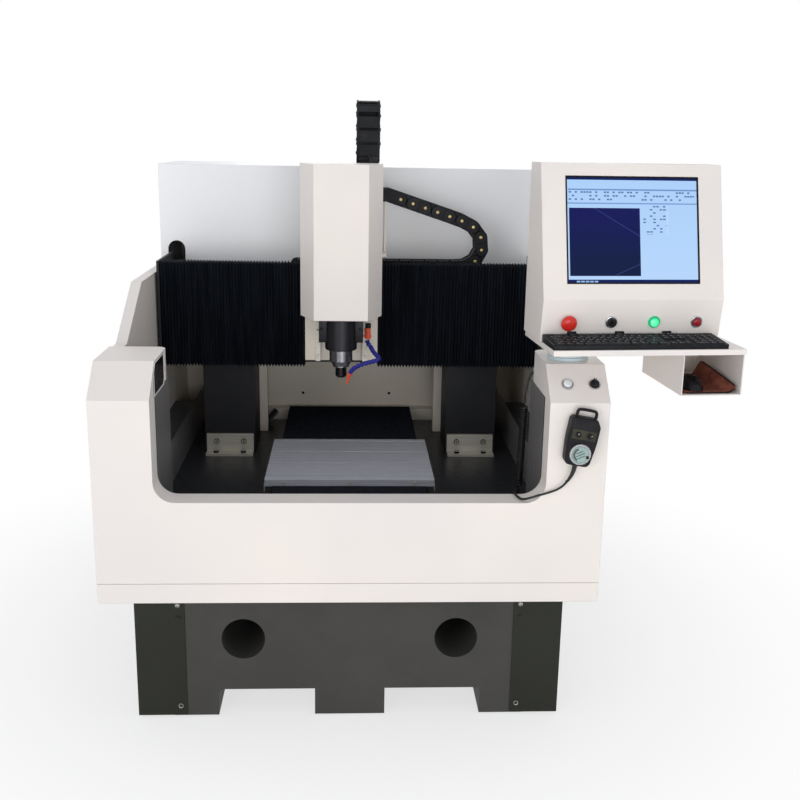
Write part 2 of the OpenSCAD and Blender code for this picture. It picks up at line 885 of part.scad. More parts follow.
// Folding cover of width w and height h that runs along +y in n folds
module folding_cover(w, h, run, n) {
  last = 2 * n;
  points = [
    for (k = [0 : last]) for (p = channel(w, h, k % 2 == 0 ? 0 : fold_d))
      [p[0], run * k / last, p[1]]
  ];
  sides = [
    for (k = [0 : last - 1], j = [0 : 7])
      [8 * k + j, 8 * (k + 1) + j, 8 * (k + 1) + (j + 1) % 8, 8 * k + (j + 1) % 8]
  ];
  ends = [[0, 1, 6, 7], [1, 2, 5, 6], [2, 3, 4, 5]];
  far = [for (f = ends) [for (q = [3 : -1 : 0]) 8 * last + f[q]]];
  polyhedron(points, concat(sides, ends, far));
}

// Covers from the carriage's sides to the beam's end plates
module x_cover(x0, x1) translate([x1, x_screw_y, beam_z + x_fold_h / 2]) rotate([90, -90, 0])
  folding_cover(x_fold_h, x_screw_y - x_fold_y, x1 - x0, x_folds);

module x_bellows_l() color(bellows_black) placed() x_cover(-beam_w / 2, head_x - carriage_w / 2);
module x_bellows_r() color(bellows_black) placed() x_cover(head_x + carriage_w / 2, beam_w / 2);

// Covers in front of the table and behind it
module y_cover(y0, y1, n) translate([table_x, y0, pan_z + seat])
  folding_cover(y_fold_w, y_fold_h - seat, y1 - y0, n);

module y_bellows_front() color(bellows_black) placed() y_cover(sill_d + liner_t, table_y, y_front_folds);
module y_bellows_rear() color(bellows_black) placed() y_cover(table_y + table_d, pan_back, y_folds);

/* Cable chains */

// Pose [u, v, heading] after an arc of length len that turns by turn, straight if turn is 0
function advance(pose, len, turn) =
  let (a = pose[2], r = turn == 0 ? 0 : len / (turn * PI / 180))
  turn == 0
    ? [pose[0] + len * cos(a), pose[1] + len * sin(a), a]
    : [pose[0] + r * (sin(a + turn) - sin(a)), pose[1] - r * (cos(a + turn) - cos(a)), a + turn];

// Pose at distance s along a run of [length, turn] stretches
function along(pose, run, s, i = 0) =
  i == len(run) - 1 || s <= run[i][0]
    ? advance(pose, s, run[i][1] * s / run[i][0])
    : along(advance(pose, run[i][0], run[i][1]), run, s - run[i][0], i + 1);

function arc_length(r, turn) = r * turn * PI / 180;

// The gantry's chain in (x, z): lower run, bend, easing bend, then up
x_chain_links = 24;
x_bend = 150;
x_ease_r = 250;
x_ease = 12;
x_chain_start = [x_chain_x, beam_top + link_h / 2, 0];
x_chain_run = [
  [x_bend_x - x_chain_x, 0], [arc_length(x_bend_r, x_bend), x_bend],
  [arc_length(x_ease_r, x_ease), x_ease], [link_pitch * x_chain_links, 0]
];
x_chain_end = along(x_chain_start, x_chain_run, link_pitch * x_chain_links);

// The head's chain in (y, z): up from the shelf, over its bend and down to the arm
z_chain_links = 16;
z_chain_x = head_x + z_chain_dx;
shelf_z = beam_top + link_h + seat + 20;
shelf_top = shelf_z + shelf_t;
z_chain_back = carriage_rear + shelf_d - z_link_h / 2 - 10;
z_chain_start = [z_chain_back, shelf_top + z_link_h / 2, 90];
z_chain_run = [
  [z_bend_z - z_chain_start[1], 0], [arc_length(z_bend_r, 180), 180], [link_pitch * z_chain_links, 0]
];
z_chain_end = along(z_chain_start, z_chain_run, link_pitch * z_chain_links);

// One link along +u from its first pin: two side plates and two bars across them
link_plate_t = 5;
link_bar_l = 14;
link_bar_t = 4;
link_pin_r = 4;
link_pin_out = 1.5;
link_waist = 0.86;
link_trim = 5;
link_step = 1;
module link(w, h, $fn = 30) {
  for (s = [-1, 1]) translate([0, s * (w - link_plate_t) / 2, 0]) rotate([90, 0, 0]) {
    translate([0, 0, -link_plate_t / 2]) linear_extrude(link_plate_t) {
      translate([link_pitch / 2, 0]) square([link_pitch - 2 * link_trim, h * link_waist], center = true);
      circle(h / 2);
    }
    translate([0, 0, -link_plate_t / 2 - link_pin_out])
      cylinder(r = link_pin_r, h = link_plate_t + 2 * link_pin_out);
  }
  for (s = [-1, 1])
    translate([link_pitch / 2, 0, s * (h * link_waist - link_bar_t) / 2])
      cube([link_bar_l, w - link_plate_t, link_bar_t], center = true);
}

// A chain of n links laid in a plane, with u along x and v along z
module chain(start, run, n, w, h) for (i = [0 : n - 1]) {
  a = along(start, run, link_pitch * i);
  b = along(start, run, link_pitch * (i + 1));
  translate([a[0], 0, a[1]]) rotate([0, -atan2(b[1] - a[1], b[0] - a[0]), 0])
    link(w - link_step * (i % 2), h);
}

module x_chain() color(plastic_black) placed() translate([0, x_chain_y, 0])
  chain(x_chain_start, x_chain_run, x_chain_links, x_chain_w, link_h);

module z_chain() color(plastic_black) placed() translate([z_chain_x, 0, 0]) rotate([0, 0, 90])
  chain(z_chain_start, z_chain_run, z_chain_links, z_chain_w, z_link_h);

/* Table */

module table_plate() color(table_silver) placed() difference() {
  translate([table_x - table_w / 2, table_y, table_z]) cube([table_w, table_d, table_t]);
  for (i = [0 : tslot_n - 1])
    translate([table_x - table_w / 2 - cut, table_y + tslot_first + i * tslot_pitch, table_top])
      along_x(table_w + 2 * cut) tslot();
}

// Outline of a T-slot below z = 0
module tslot() {
  head_h = tslot_depth / 2;
  translate([-tslot_w / 2, -tslot_depth]) square([tslot_w, tslot_depth + cut]);
  translate([-tslot_head / 2, -tslot_depth]) square([tslot_head, head_h]);
}

// Saddle plate with four guide blocks and a nut
saddle_w = 400;
saddle_d = 340;
guide_l = 70;
guide_wall = 12;
nut_w = 50;
module table_saddle() color(steel) placed() {
  y0 = table_y + (table_d - saddle_d) / 2;
  translate([table_x - saddle_w / 2, y0, saddle_z]) cube([saddle_w, saddle_d, saddle_t]);
  for (s = [-1, 1], y = [y0, y0 + saddle_d - guide_l])
    translate([table_x + s * y_rail_x, y, pan_z]) y_block();
  difference() {
    translate([table_x - nut_w / 2, y0 + saddle_d / 2 - guide_l / 2, pan_z + seat + cut])
      cube([nut_w, guide_l, saddle_z - pan_z - seat - cut]);
    translate([table_x, y0, y_screw_z]) rotate([-90, 0, 0])
      cylinder(r = screw_r + nut_gap, h = saddle_d);
  }
}

// Guide block over a rail along y
module y_block() {
  w = rail_w + 2 * guide_wall;
  difference() {
    translate([-w / 2, 0, block_gap]) cube([w, guide_l, saddle_z - pan_z - block_gap]);
    translate([-rail_w / 2 - slide_gap, -cut, 0])
      cube([rail_w + 2 * slide_gap, guide_l + 2 * cut, rail_h + slide_gap]);
  }
}

// Drip skirts and the screws in the front edge
table_screw_r = 5;
table_screw_x = 190;
table_screw_h = 3;
module table_trim() color(steel) placed() {
  for (s = [-1, 1])
    translate([table_x + s * (table_w + drip_t) / 2 - drip_t / 2, table_y, table_top - drip_h])
      cube([drip_t, table_d, drip_h - tslot_depth - cut]);
  for (x = [-table_screw_x, 0, table_screw_x])
    translate([table_x + x, table_y, table_z + table_t / 2]) rotate([90, 0, 0])
      cylinder(r = table_screw_r, h = table_screw_h);
}

/* Carriage on the gantry */

carriage_x0 = head_x - carriage_w / 2;
carriage_x1 = head_x + carriage_w / 2;
notch_w = carriage_w / 2 - z_rail_x - z_rail_w / 2 - 1;
notch_up = 90;
notch_z = shelf_top + notch_up;
chain_plate_t = 6;
module carriage() color(beige_metal) placed() {
  difference() {
    span([carriage_x0, carriage_front, carriage_z], [carriage_x1, carriage_rear, carriage_top]);
    span([carriage_x1 - notch_w, carriage_front - cut, notch_z],
         [carriage_x1 + cut, carriage_rear + cut, carriage_top + cut]);
  }
  for (s = [-1, 1], x = [carriage_x0, carriage_x1 - guide_l])
    translate([x, 0, x_screw_z + s * x_rail_z]) x_block();
  x_nut();
  z_screw_foot();
  motor_shelf();
  cable_shelf();
}

// Guide block on a rail along x
module x_block() {
  w = rail_w + 2 * guide_wall;
  difference() {
    translate([0, carriage_rear, -w / 2]) cube([guide_l, beam_y - block_gap - carriage_rear, w]);
    translate([-cut, beam_y - rail_h - slide_gap, -rail_w / 2 - slide_gap])
      cube([guide_l + 2 * cut, rail_h + slide_gap, rail_w + 2 * slide_gap]);
  }
}

module x_nut() difference() {
  translate([head_x - nut_w / 2, carriage_rear, x_screw_z - nut_w / 2])
    cube([nut_w, beam_y - block_gap - carriage_rear, nut_w]);
  translate([head_x - nut_w, x_screw_y, x_screw_z]) rotate([0, 90, 0])
    cylinder(r = screw_r + nut_gap, h = 2 * nut_w);
}

// Lower support of the head's screw
z_foot_h = 20;
z_foot_w = 44;
z_foot_z = carriage_z + 6;
module z_screw_foot() difference() {
  span([head_x - z_foot_w / 2, z_plate_rear + 2 * cut, z_foot_z],
       [head_x + z_foot_w / 2, carriage_front, z_foot_z + z_foot_h]);
  translate([head_x, z_screw_y, z_foot_z - cut])
    cylinder(r = z_screw_r + pin_gap, h = z_foot_h + 2 * cut);
}

// Shelf that carries the head's motor
z_motor_w = 54;
motor_shelf_t = 10;
motor_shelf_w = 76;
module motor_shelf() difference() {
  span([head_x - motor_shelf_w / 2, z_screw_y - z_motor_w / 2, carriage_top],
       [head_x + motor_shelf_w / 2, carriage_rear, carriage_top + motor_shelf_t]);
  translate([head_x, z_screw_y, carriage_top - cut])
    cylinder(r = z_screw_r + pin_gap, h = motor_shelf_t + 2 * cut);
}

// Shelf for the ends of both chains
module cable_shelf() {
  x1 = x_chain_end[0] - link_h * link_waist / 2 * sin(x_chain_end[2]) - seat;
  x0 = z_chain_x - z_chain_w / 2 - shelf_t;
  span([x0, carriage_rear, shelf_z], [carriage_x1, carriage_rear + shelf_d, shelf_top]);
  span([carriage_x1 - shelf_t, carriage_rear + shelf_t, shelf_z],
       [x1, carriage_rear + shelf_d, shelf_top]);
  span([x1 - chain_plate_t, x_chain_y - x_chain_w / 2, shelf_top],
       [x1, x_chain_y + x_chain_w / 2, x_chain_end[1] + link_h / 2]);
}

// Rails of the head, drilled for their screws
z_rail_top = carriage_top - 12;
z_rail_hole_r = 2.5;
z_rail_hole_pitch = 40;
module z_rails() color(steel) placed() for (s = [-1, 1])
  translate([head_x + s * z_rail_x, carriage_front, carriage_z]) difference() {
    translate([-z_rail_w / 2, -z_rail_h, 0]) cube([z_rail_w, z_rail_h, z_rail_top - carriage_z]);
    for (z = [z_rail_hole_pitch / 2 : z_rail_hole_pitch : z_rail_top - carriage_z - z_rail_w])
      translate([0, -z_rail_h - cut, z]) rotate([-90, 0, 0])
        cylinder(r = z_rail_hole_r, h = z_rail_h / 2);
  }

module z_motor() color(plastic_black) placed()
  translate([head_x - z_motor_w / 2, z_screw_y - z_motor_w / 2, carriage_top + motor_shelf_t])
    cube([z_motor_w, z_motor_w, motor_l]);

module z_screw() color(steel) placed() translate([head_x, z_screw_y, z_foot_z])
  cylinder(r = z_screw_r, h = carriage_top + motor_shelf_t - z_foot_z);

/* Head */

z_guide_l = 60;
z_low_block = cover_z + 23;
z_high_block = z_low_block + 220;
z_plate_low = cover_z + 12;
z_plate_top = z_rail_top - 5;
z_plate_w = 190;
z_nut_up = 100;
z_nut_z = z_low_block + z_nut_up;
z_nut_h = 40;
ear_h = 200;
ear_up = 60;
ear_z = z_low_block + ear_up;
z_arm_t = 10;
z_arm_gap = 3;
z_arm_x0 = head_x + z_rail_x + z_rail_w / 2 + z_arm_gap;
z_arm_x1 = z_chain_x + z_chain_w / 2 - 8;
cover_x0 = head_x - cover_w / 2;
cover_x1 = head_x + cover_w / 2;
module z_plate() color(iron) placed() {
  x0 = head_x - z_plate_w / 2;
  x1 = head_x + z_plate_w / 2;
  span([x0, z_plate_front, z_plate_low], [x1, z_plate_rear, z_plate_top]);
  for (s = [-1, 1], z = [z_low_block, z_high_block])
    translate([head_x + s * z_rail_x, 0, z]) z_block();
  z_nut();
  span([cover_x0 + sheet_t, z_plate_front, ear_z], [x0, z_plate_front + z_arm_t, ear_z + ear_h]);
  span([x1, z_plate_front, ear_z], [cover_x1 - sheet_t, z_plate_front + z_arm_t, ear_z + ear_h]);
  cable_arm();
}

module z_block() {
  w = z_rail_w + 2 * guide_wall - 4;
  difference() {
    translate([-w / 2, z_plate_rear, 0])
      cube([w, carriage_front - z_block_gap - z_plate_rear, z_guide_l]);
    translate([-z_rail_w / 2 - slide_gap, carriage_front - z_rail_h - slide_gap, -cut])
      cube([z_rail_w + 2 * slide_gap, z_rail_h + slide_gap, z_guide_l + 2 * cut]);
  }
}

module z_nut() difference() {
  translate([head_x - z_foot_w / 2, z_plate_rear, z_nut_z])
    cube([z_foot_w, carriage_front - 2 * cut - z_plate_rear, z_nut_h]);
  translate([head_x, z_screw_y, z_nut_z - cut])
    cylinder(r = z_screw_r + nut_gap, h = z_nut_h + 2 * cut);
}

// Arm from the head's plate past the rail and over the carriage to the head's chain
module cable_arm() {
  top = z_chain_end[1];
  span([z_arm_x0, z_plate_front, z_plate_top - ear_h], [z_arm_x1, z_plate_front + z_arm_t, top]);
  span([z_arm_x0, z_plate_front, top - z_arm_t], [z_arm_x1, z_chain_end[0] + z_link_h / 2, top]);
  span([2 * z_chain_x - z_arm_x1, carriage_rear + z_arm_gap, top - z_arm_t],
       [z_arm_x1, z_chain_end[0] + z_link_h / 2, top]);
}

// Outline of the head's cover from above, shrunk by i, ending at y
function cover_outline(i, y) = [
  [cover_x0 + i, y], [cover_x0 + i, cover_front + cover_chamfer + i / 3],
  [head_x - cover_flat / 2 + i / 2, cover_front + i], [head_x + cover_flat / 2 - i / 2, cover_front + i],
  [cover_x1 - i, cover_front + cover_chamfer + i / 3], [cover_x1 - i, y]
];

// Cover around the head, open below and behind
cover_rear = carriage_front - z_rail_h - 2;
lid_rear = z_plate_front - 3;
module head_cover() color(ivory) placed() difference() {
  translate([0, 0, cover_z]) linear_extrude(cover_h) polygon(cover_outline(0, cover_rear));
  translate([0, 0, cover_z - cut]) linear_extrude(cover_h - sheet_t + cut)
    polygon(cover_outline(sheet_t, cover_rear + cut));
  span([cover_x0 + sheet_t, lid_rear, cover_top - sheet_t - cut],
       [cover_x1 - sheet_t, cover_rear + cut, cover_top + cut]);
}

clamp_front = spindle_y - spindle_r - 6;
clamp_z = spindle_z + clamp_up;
clamp_screw_r = 4;
module spindle_clamp() color(plastic_black) placed() difference() {
  span([head_x - clamp_w / 2, clamp_front, clamp_z],
       [head_x + clamp_w / 2, z_plate_front, clamp_z + clamp_h]);
  translate([head_x, spindle_y, clamp_z - cut])
    cylinder(r = spindle_r + clamp_gap, h = clamp_h + 2 * cut, $fn = 96);
  for (s = [-1, 1], z = [0.3, 0.7])
    translate([head_x + s * (clamp_w / 2 - 2 * clamp_screw_r), clamp_front - cut, clamp_z + z * clamp_h])
      rotate([-90, 0, 0]) cylinder(r = clamp_screw_r, h = 3 * clamp_screw_r);
}

module spindle_body() color(plastic_black) placed() translate([head_x, spindle_y, spindle_z])
  rotate_extrude($fn = 96) polygon([
    [0, 0], [spindle_r - 3, 0], [spindle_r, 3], [spindle_r, spindle_l],
    [spindle_r - 12, spindle_l], [spindle_r - 12, spindle_l + 14], [0, spindle_l + 14]
  ]);

// Chromed nose, with the bore that the shaft turns in
shaft_r = 12;
nose_tip_r = 20;
module spindle_nose() color(steel) placed() translate([head_x, spindle_y, spindle_z])
  rotate_extrude($fn = 96) polygon([
    [shaft_r + pin_gap, 0], [nose_r, 0], [nose_r, -nose_l + 3], [nose_r - 3, -nose_l],
    [nose_tip_r + 4, -nose_l - taper_l + 4], [nose_tip_r + 4, -nose_l - taper_l],
    [shaft_r + pin_gap, -nose_l - taper_l]
  ]);

// Turning shaft with its collet nut, bored for a tool
nut_gap_z = 5;
nut_slot_n = 6;
nut_slot_w = 5;
module collet_nut() color(plastic_black) placed()
  translate([head_x, spindle_y, spindle_z - nose_l - taper_l]) difference() {
    union() {
      translate([0, 0, -nut_gap_z]) cylinder(r = shaft_r, h = nose_l + taper_l + nut_gap_z - seat);
      translate([0, 0, -nut_gap_z - nut_l]) rotate_extrude() polygon([
        [0, 0], [nut_r - 5, 0], [nut_r, 6], [nut_r, nut_l], [0, nut_l]
      ]);
    }
    translate([0, 0, -nut_gap_z - nut_l - cut]) cylinder(r = collet_r, h = collet_depth + cut);
    for (i = [0 : nut_slot_n - 1]) rotate(i * 360 / nut_slot_n)
      translate([nut_r - 2, -nut_slot_w / 2, -nut_gap_z - nut_l + 8])
        cube([nut_r, nut_slot_w, nut_l]);
  }

/* Coolant */

valve_x = head_x + clamp_w / 2 + valve_r + 8;
valve_y = spindle_y + 40;
valve_z = spindle_z + 24;
valve_h = 34;
valve_plate_t = 6;
module coolant_valve() color(orange) placed() {
  difference() {
    translate([valve_x, valve_y, valve_z]) cylinder(r = valve_r, h = valve_h);
    translate([valve_x, valve_y, valve_z + valve_h - stem_h]) cylinder(r = stem_r + pin_gap, h = valve_h);
  }
  span([head_x + clamp_w / 2, valve_y - valve_r / 2, valve_z + valve_plate_t],
       [valve_x - valve_r / 2, valve_y + valve_r / 2, valve_z + 2 * valve_plate_t]);
  difference() {
    translate([valve_x, valve_y, valve_z + valve_plate_t]) cylinder(r = valve_r + 2, h = valve_plate_t);
    translate([valve_x, valve_y, valve_z]) cylinder(r = valve_r, h = valve_h);
  }
}

stem_r = 3;
stem_h = 12;
knob_h = 14;
knob_flute_n = 8;
module coolant_knob() color(plastic_black) placed()
  translate([valve_x, valve_y, valve_z + valve_h + seat]) {
    translate([0, 0, -stem_h + 2 * seat]) cylinder(r = stem_r, h = stem_h);
    difference() {
      cylinder(r = valve_knob_r, h = knob_h);
      for (i = [0 : knob_flute_n - 1]) rotate(i * 360 / knob_flute_n)
        translate([valve_knob_r + 1, 0, -cut]) cylinder(r = 2, h = knob_h + 2 * cut, $fn = 24);
    }
  }

// Balls of the segmented hose, from the valve to the nozzle
hose_at = [head_x, spindle_y, spindle_z];
hose_points = [
  [valve_x, valve_y, valve_z - hose_r] - hose_at, [89.5, 33, 3], [97.5, 18, -10], [107.5, 2, -19],
  [115.5, -14, -25], [109.5, -30, -28], [95.5, -39, -30], [79.5, -45, -33], [63.5, -50, -37],
  [48.5, -53, -43], [35.5, -53, -52], [27.5, -49, -63]
];
nozzle_tip = [17.5, -34, -100];
nozzle_r = 3;
module coolant_hose() color(blue) placed() translate(hose_at) {
  for (p = hose_points) translate(p) sphere(r = hose_r, $fn = 32);
  for (i = [0 : len(hose_points) - 2]) rod(hose_points[i], hose_points[i + 1], hose_r * 0.8, hose_r * 0.8);
  rod(hose_points[len(hose_points) - 1], nozzle_tip, hose_r * 0.8, nozzle_r);
}

// Round bar between two points
module rod(a, b, r1, r2) {
  d = b - a;
  translate(a) rotate([0, acos(d[2] / norm(d)), atan2(d[1], d[0])])
    cylinder(r1 = r1, r2 = r2, h = norm(d), $fn = 32);
}

/* Console */

// Frame of the console: origin on the swivel's axis, x along its front
module at_console() placed() translate([swivel_x, swivel_y, 0]) rotate(console_turn) children();

pin_l = 30;
flange_h = 8;
module console_plinth() color("#cfe0e6") placed() translate([swivel_x, swivel_y, pillar_top])
  difference() {
    union() {
      cylinder(r = plinth_r, h = flange_h, $fn = 96);
      cylinder(r = plinth_r - 6, h = plinth_h - seat, $fn = 96);
    }
    translate([0, 0, plinth_h - pin_l - cut]) cylinder(r = pin_r + pin_gap, h = pin_l + 2 * cut);
  }

// Outline of the box in (y, z) from the tray, shrunk by i
function box_outline(i) = [
  [box_rear - i, i], [box_rear - box_foot_d + i, i], [box_rear - box_fold_d + i, fold_up],
  [box_rear - box_top_d + i, box_h - i], [box_rear - i, box_h - i]
];
screen_lean = atan2(box_fold_d - box_top_d, box_h - fold_up);
screen_face_l = norm([box_fold_d - box_top_d, box_h - fold_up]);
strip_lean = -atan2(box_fold_d - box_foot_d, fold_up);
box_mid_x = box_left + box_w / 2;

// Frames on the box's two front faces: x to the right, y up the face, z outwards
module on_screen_face() at_console()
  translate([box_left, box_rear - box_fold_d, tray_top + fold_up]) rotate([90 - screen_lean, 0, 0])
    children();
module on_strip() at_console()
  translate([box_left, box_rear - box_fold_d, tray_top + fold_up]) rotate([90 - strip_lean, 0, 0])
    children();
strip_mid = -fold_up / 2 - 4;
screen_x0 = (box_w - screen_w) / 2;
screen_y0 = screen_face_l - screen_top - screen_h;

box_t = 2;
vent_n = 9;
vent_w = 6;
vent_h = 60;
vent_pitch = 18;
module console_box() color(ivory) difference() {
  at_console() translate([box_left, 0, tray_top]) along_x(box_w) polygon(box_outline(0));
  at_console() translate([box_left + box_t, 0, tray_top]) along_x(box_w - 2 * box_t)
    polygon(box_outline(box_t));
  on_screen_face() translate([screen_x0, screen_y0, -box_t * 3]) cube([screen_w, screen_h, box_t * 6]);
  for (i = [0 : 3]) on_strip() translate([control_x(i), strip_mid, -3 * box_t])
    cylinder(r = control_hole_r, h = 6 * box_t);
  for (i = [0 : vent_n - 1]) at_console()
    translate([box_mid_x + (i - (vent_n - 1) / 2) * vent_pitch - vent_w / 2, box_rear - 2 * box_t,
               tray_top + box_h / 2])
      cube([vent_w, 3 * box_t, vent_h]);
}

function control_x(i) = control_first + i * control_pitch;
control_hole_r = 11;

// Display behind the window
screen_lap = 8;
screen_t = 12;
screen_gap = 0.8;
module screen() color("#9cc4f5") on_screen_face()
  translate([screen_x0 - screen_lap, screen_y0 - screen_lap, -box_t - screen_gap - screen_t])
    cube([screen_w + 2 * screen_lap, screen_h + 2 * screen_lap, screen_t]);

// Tray with the mouse compartment below it and the swivel's pin
mouse_t = 2.5;
mouse_back = 8;
mouse_x0 = tray_left + tray_w - mouse_w;
tray_front = box_rear - box_foot_d - tray_reach;
module console_tray() color(ivory) at_console() {
  difference() {
    span([tray_left, tray_front, tray_z], [tray_left + tray_w, box_rear, tray_top]);
    difference() {
      span([tray_left + mouse_t, tray_front + mouse_t, tray_z - cut],
           [tray_left + tray_w - mouse_t, box_rear - mouse_t, tray_top - mouse_t]);
      translate([0, 0, tray_z - cut]) cylinder(r = plinth_r, h = tray_t, $fn = 96);
    }
  }
  translate([0, tray_front + mouse_back, 0]) mouse_compartment(box_rear - tray_front - mouse_back);
  translate([0, 0, tray_z - pin_l + 2 * seat]) cylinder(r = pin_r, h = pin_l);
}

// Channel under the tray, closed behind, d deep
module mouse_compartment(d) translate([mouse_x0, 0, tray_z - mouse_h]) difference() {
  cube([mouse_w, d, mouse_h + tray_t - mouse_t]);
  translate([mouse_t, -cut, mouse_t])
    cube([mouse_w - 2 * mouse_t, d - mouse_t + cut, mouse_h + tray_t]);
}

// Rings around the console's controls
bezel_h = 4;
bezel_gap = 0.25;
module bezel(hole) difference() {
  union() {
    cylinder(r = bezel_r, h = bezel_h);
    translate([0, 0, -bezel_back]) cylinder(r = control_hole_r - bezel_gap, h = bezel_back + cut);
  }
  translate([0, 0, -bezel_back - cut]) cylinder(r = hole, h = bezel_back + bezel_h + 2 * cut);
}
bezel_back = 14;
stem_hole_r = 8;

module console_bezels() color(steel) for (i = [0 : 3])
  on_strip() translate([control_x(i), strip_mid, 0]) bezel(stem_hole_r);

// A control's stem through its ring
control_travel = 4;
module control_stem() translate([0, 0, -bezel_back])
  cylinder(r = stem_hole_r - bezel_gap, h = bezel_back + bezel_h + control_travel + cut);

module on_control(i) on_strip() translate([control_x(i), strip_mid, 0]) children();

estop_h = 7;
estop_dome = 6;
module estop() color("#d8261f") on_control(0) {
  control_stem();
  translate([0, 0, bezel_h + control_travel]) rotate_extrude() {
    square([estop_r, estop_h]);
    intersection() {
      translate([0, estop_h]) circle(r = estop_r);
      translate([0, estop_h]) square([estop_r, estop_dome]);
    }
  }
}

key_head_h = 8;
key_bow = [3, 18, 10];
module key_switch() color(plastic_black) on_control(1) {
  control_stem();
  translate([0, 0, bezel_h + seat]) cylinder(r = button_r - 1, h = key_head_h);
  translate([-key_bow[0] / 2, -key_bow[1] / 2, bezel_h + key_head_h]) cube(key_bow);
}

// Push button: stem, neck and a slightly domed cap
cap_h = 5;
cap_dome = 2;
module push_cap() {
  control_stem();
  translate([0, 0, bezel_h + control_travel]) rotate_extrude() {
    square([button_r, cap_h]);
    intersection() {
      translate([0, cap_h - 2 * button_r]) circle(r = 2 * button_r + cap_dome, $fn = 96);
      translate([0, cap_h]) square([button_r, cap_dome + cut]);
    }
  }
}
module green_button() color("#35e08a") on_control(2) push_cap();
module red_button() color("#8e1622") on_control(3) push_cap();

// Keyboard: a wedge case with its keys
keyboard_x = box_mid_x - keyboard_w / 2 - 7;
keyboard_y = box_rear - box_foot_d - keyboard_d - 4;
keyboard_rise = 8;
key_h = 4;
key_rows = 5;
key_edge = 9;
module keyboard() color(plastic_black) at_console() translate([keyboard_x, keyboard_y, tray_top]) {
  along_x(keyboard_w) polygon([
    [0, 0], [keyboard_d, 0], [keyboard_d, keyboard_h + keyboard_rise], [0, keyboard_h]
  ]);
  translate([0, 0, keyboard_h]) rotate([atan2(keyboard_rise, keyboard_d), 0, 0]) keys();
}

// Key field of three blocks, with a long space bar
key_blocks = [[0, 14], [15, 17], [18, 21]];
space_from = 4;
space_to = 9;
module keys() for (block = key_blocks, row = [0 : key_rows - 1])
  if (block[0] == 0 && row == 0) {
    key_run(0, space_from, row);
    translate([key_edge + space_from * key_pitch, key_edge, -cut])
      cube([(space_to - space_from - 1) * key_pitch + key_size, key_size, key_h + cut]);
    key_run(space_to, block[1], row);
  } else key_run(block[0], block[1], row);

module key_run(from, to, row) for (i = [from : to - 1])
  translate([key_edge + i * key_pitch, key_edge + row * key_pitch, -cut])
    cube([key_size, key_size, key_h + cut]);

// Mouse on its pad in the compartment
mouse_pad_t = 3;
mouse_body_w = 60;
mouse_nose_x = 12;
mouse_nose_r = 18;
mouse_side_h = 11;
mouse_y = 110;
mouse_pad_d = 180;
module mouse() color(plastic_black) at_console()
  translate([mouse_x0 + mouse_w / 2, tray_front + mouse_y, tray_z - mouse_h + mouse_t]) {
    translate([-mouse_w / 2 + 3 * mouse_t, -mouse_pad_d / 2, 0])
      cube([mouse_w - 6 * mouse_t, mouse_pad_d, mouse_pad_t]);
    translate([0, 0, mouse_pad_t - cut / 2]) hull() {
      for (s = [-1, 1]) translate([s * mouse_nose_x, mouse_nose_r - mouse_l / 2, 0])
        cylinder(r = mouse_nose_r, h = mouse_side_h, $fn = 32);
      translate([0, (mouse_l - mouse_body_w) / 2, 0])
        cylinder(r = mouse_body_w / 2, h = mouse_side_h, $fn = 32);
      translate([0, mouse_l / 10, mouse_nose_r]) sphere(r = mouse_nose_r, $fn = 24);
    }
  }

/* Controls on the pillar */

pillar_lean_a = atan2(pillar_lean, pillar_top - shoulder_z);
pillar_control_x = 572;
pillar_control_gap = 68;
module on_pillar(s) placed()
  translate([pillar_control_x + s * pillar_control_gap / 2, pillar_lean / 2 - 3,
             pillar_slope_z(pillar_lean / 2 - 3)])
    rotate([90 - pillar_lean_a, 0, 0]) children();

module control_holes() for (s = [-1, 1])
  translate([0, body_d / 2, 0]) on_pillar(s) translate([0, 0, -4 * sheet_t])
    cylinder(r = control_hole_r, h = 8 * sheet_t);

module pillar_bezels() color(steel) {
  for (s = [-1, 1]) on_pillar(s) bezel(stem_hole_r);
  placed() translate(gland_at) rotate([90, 0, 0]) gland();
}
module pillar_button() color("#dfe3e2") on_pillar(-1) push_cap();
knob_disc_h = 6;
knob_grip = [6, 22, 9];
module pillar_knob() color(plastic_black) on_pillar(1) {
  control_stem();
  translate([0, 0, bezel_h + seat]) cylinder(r = button_r, h = knob_disc_h);
  translate([-knob_grip[0] / 2, -knob_grip[1] / 2, bezel_h + knob_disc_h]) cube(knob_grip);
}

/* Hand pendant on the pillar */

// Frame of the pendant: origin on the pillar's face, x to the right, y up, z outwards
module at_pendant() placed() translate([pendant_x, 0, pendant_z]) rotate([90, 0, 0])
  rotate(-pendant_turn) children();

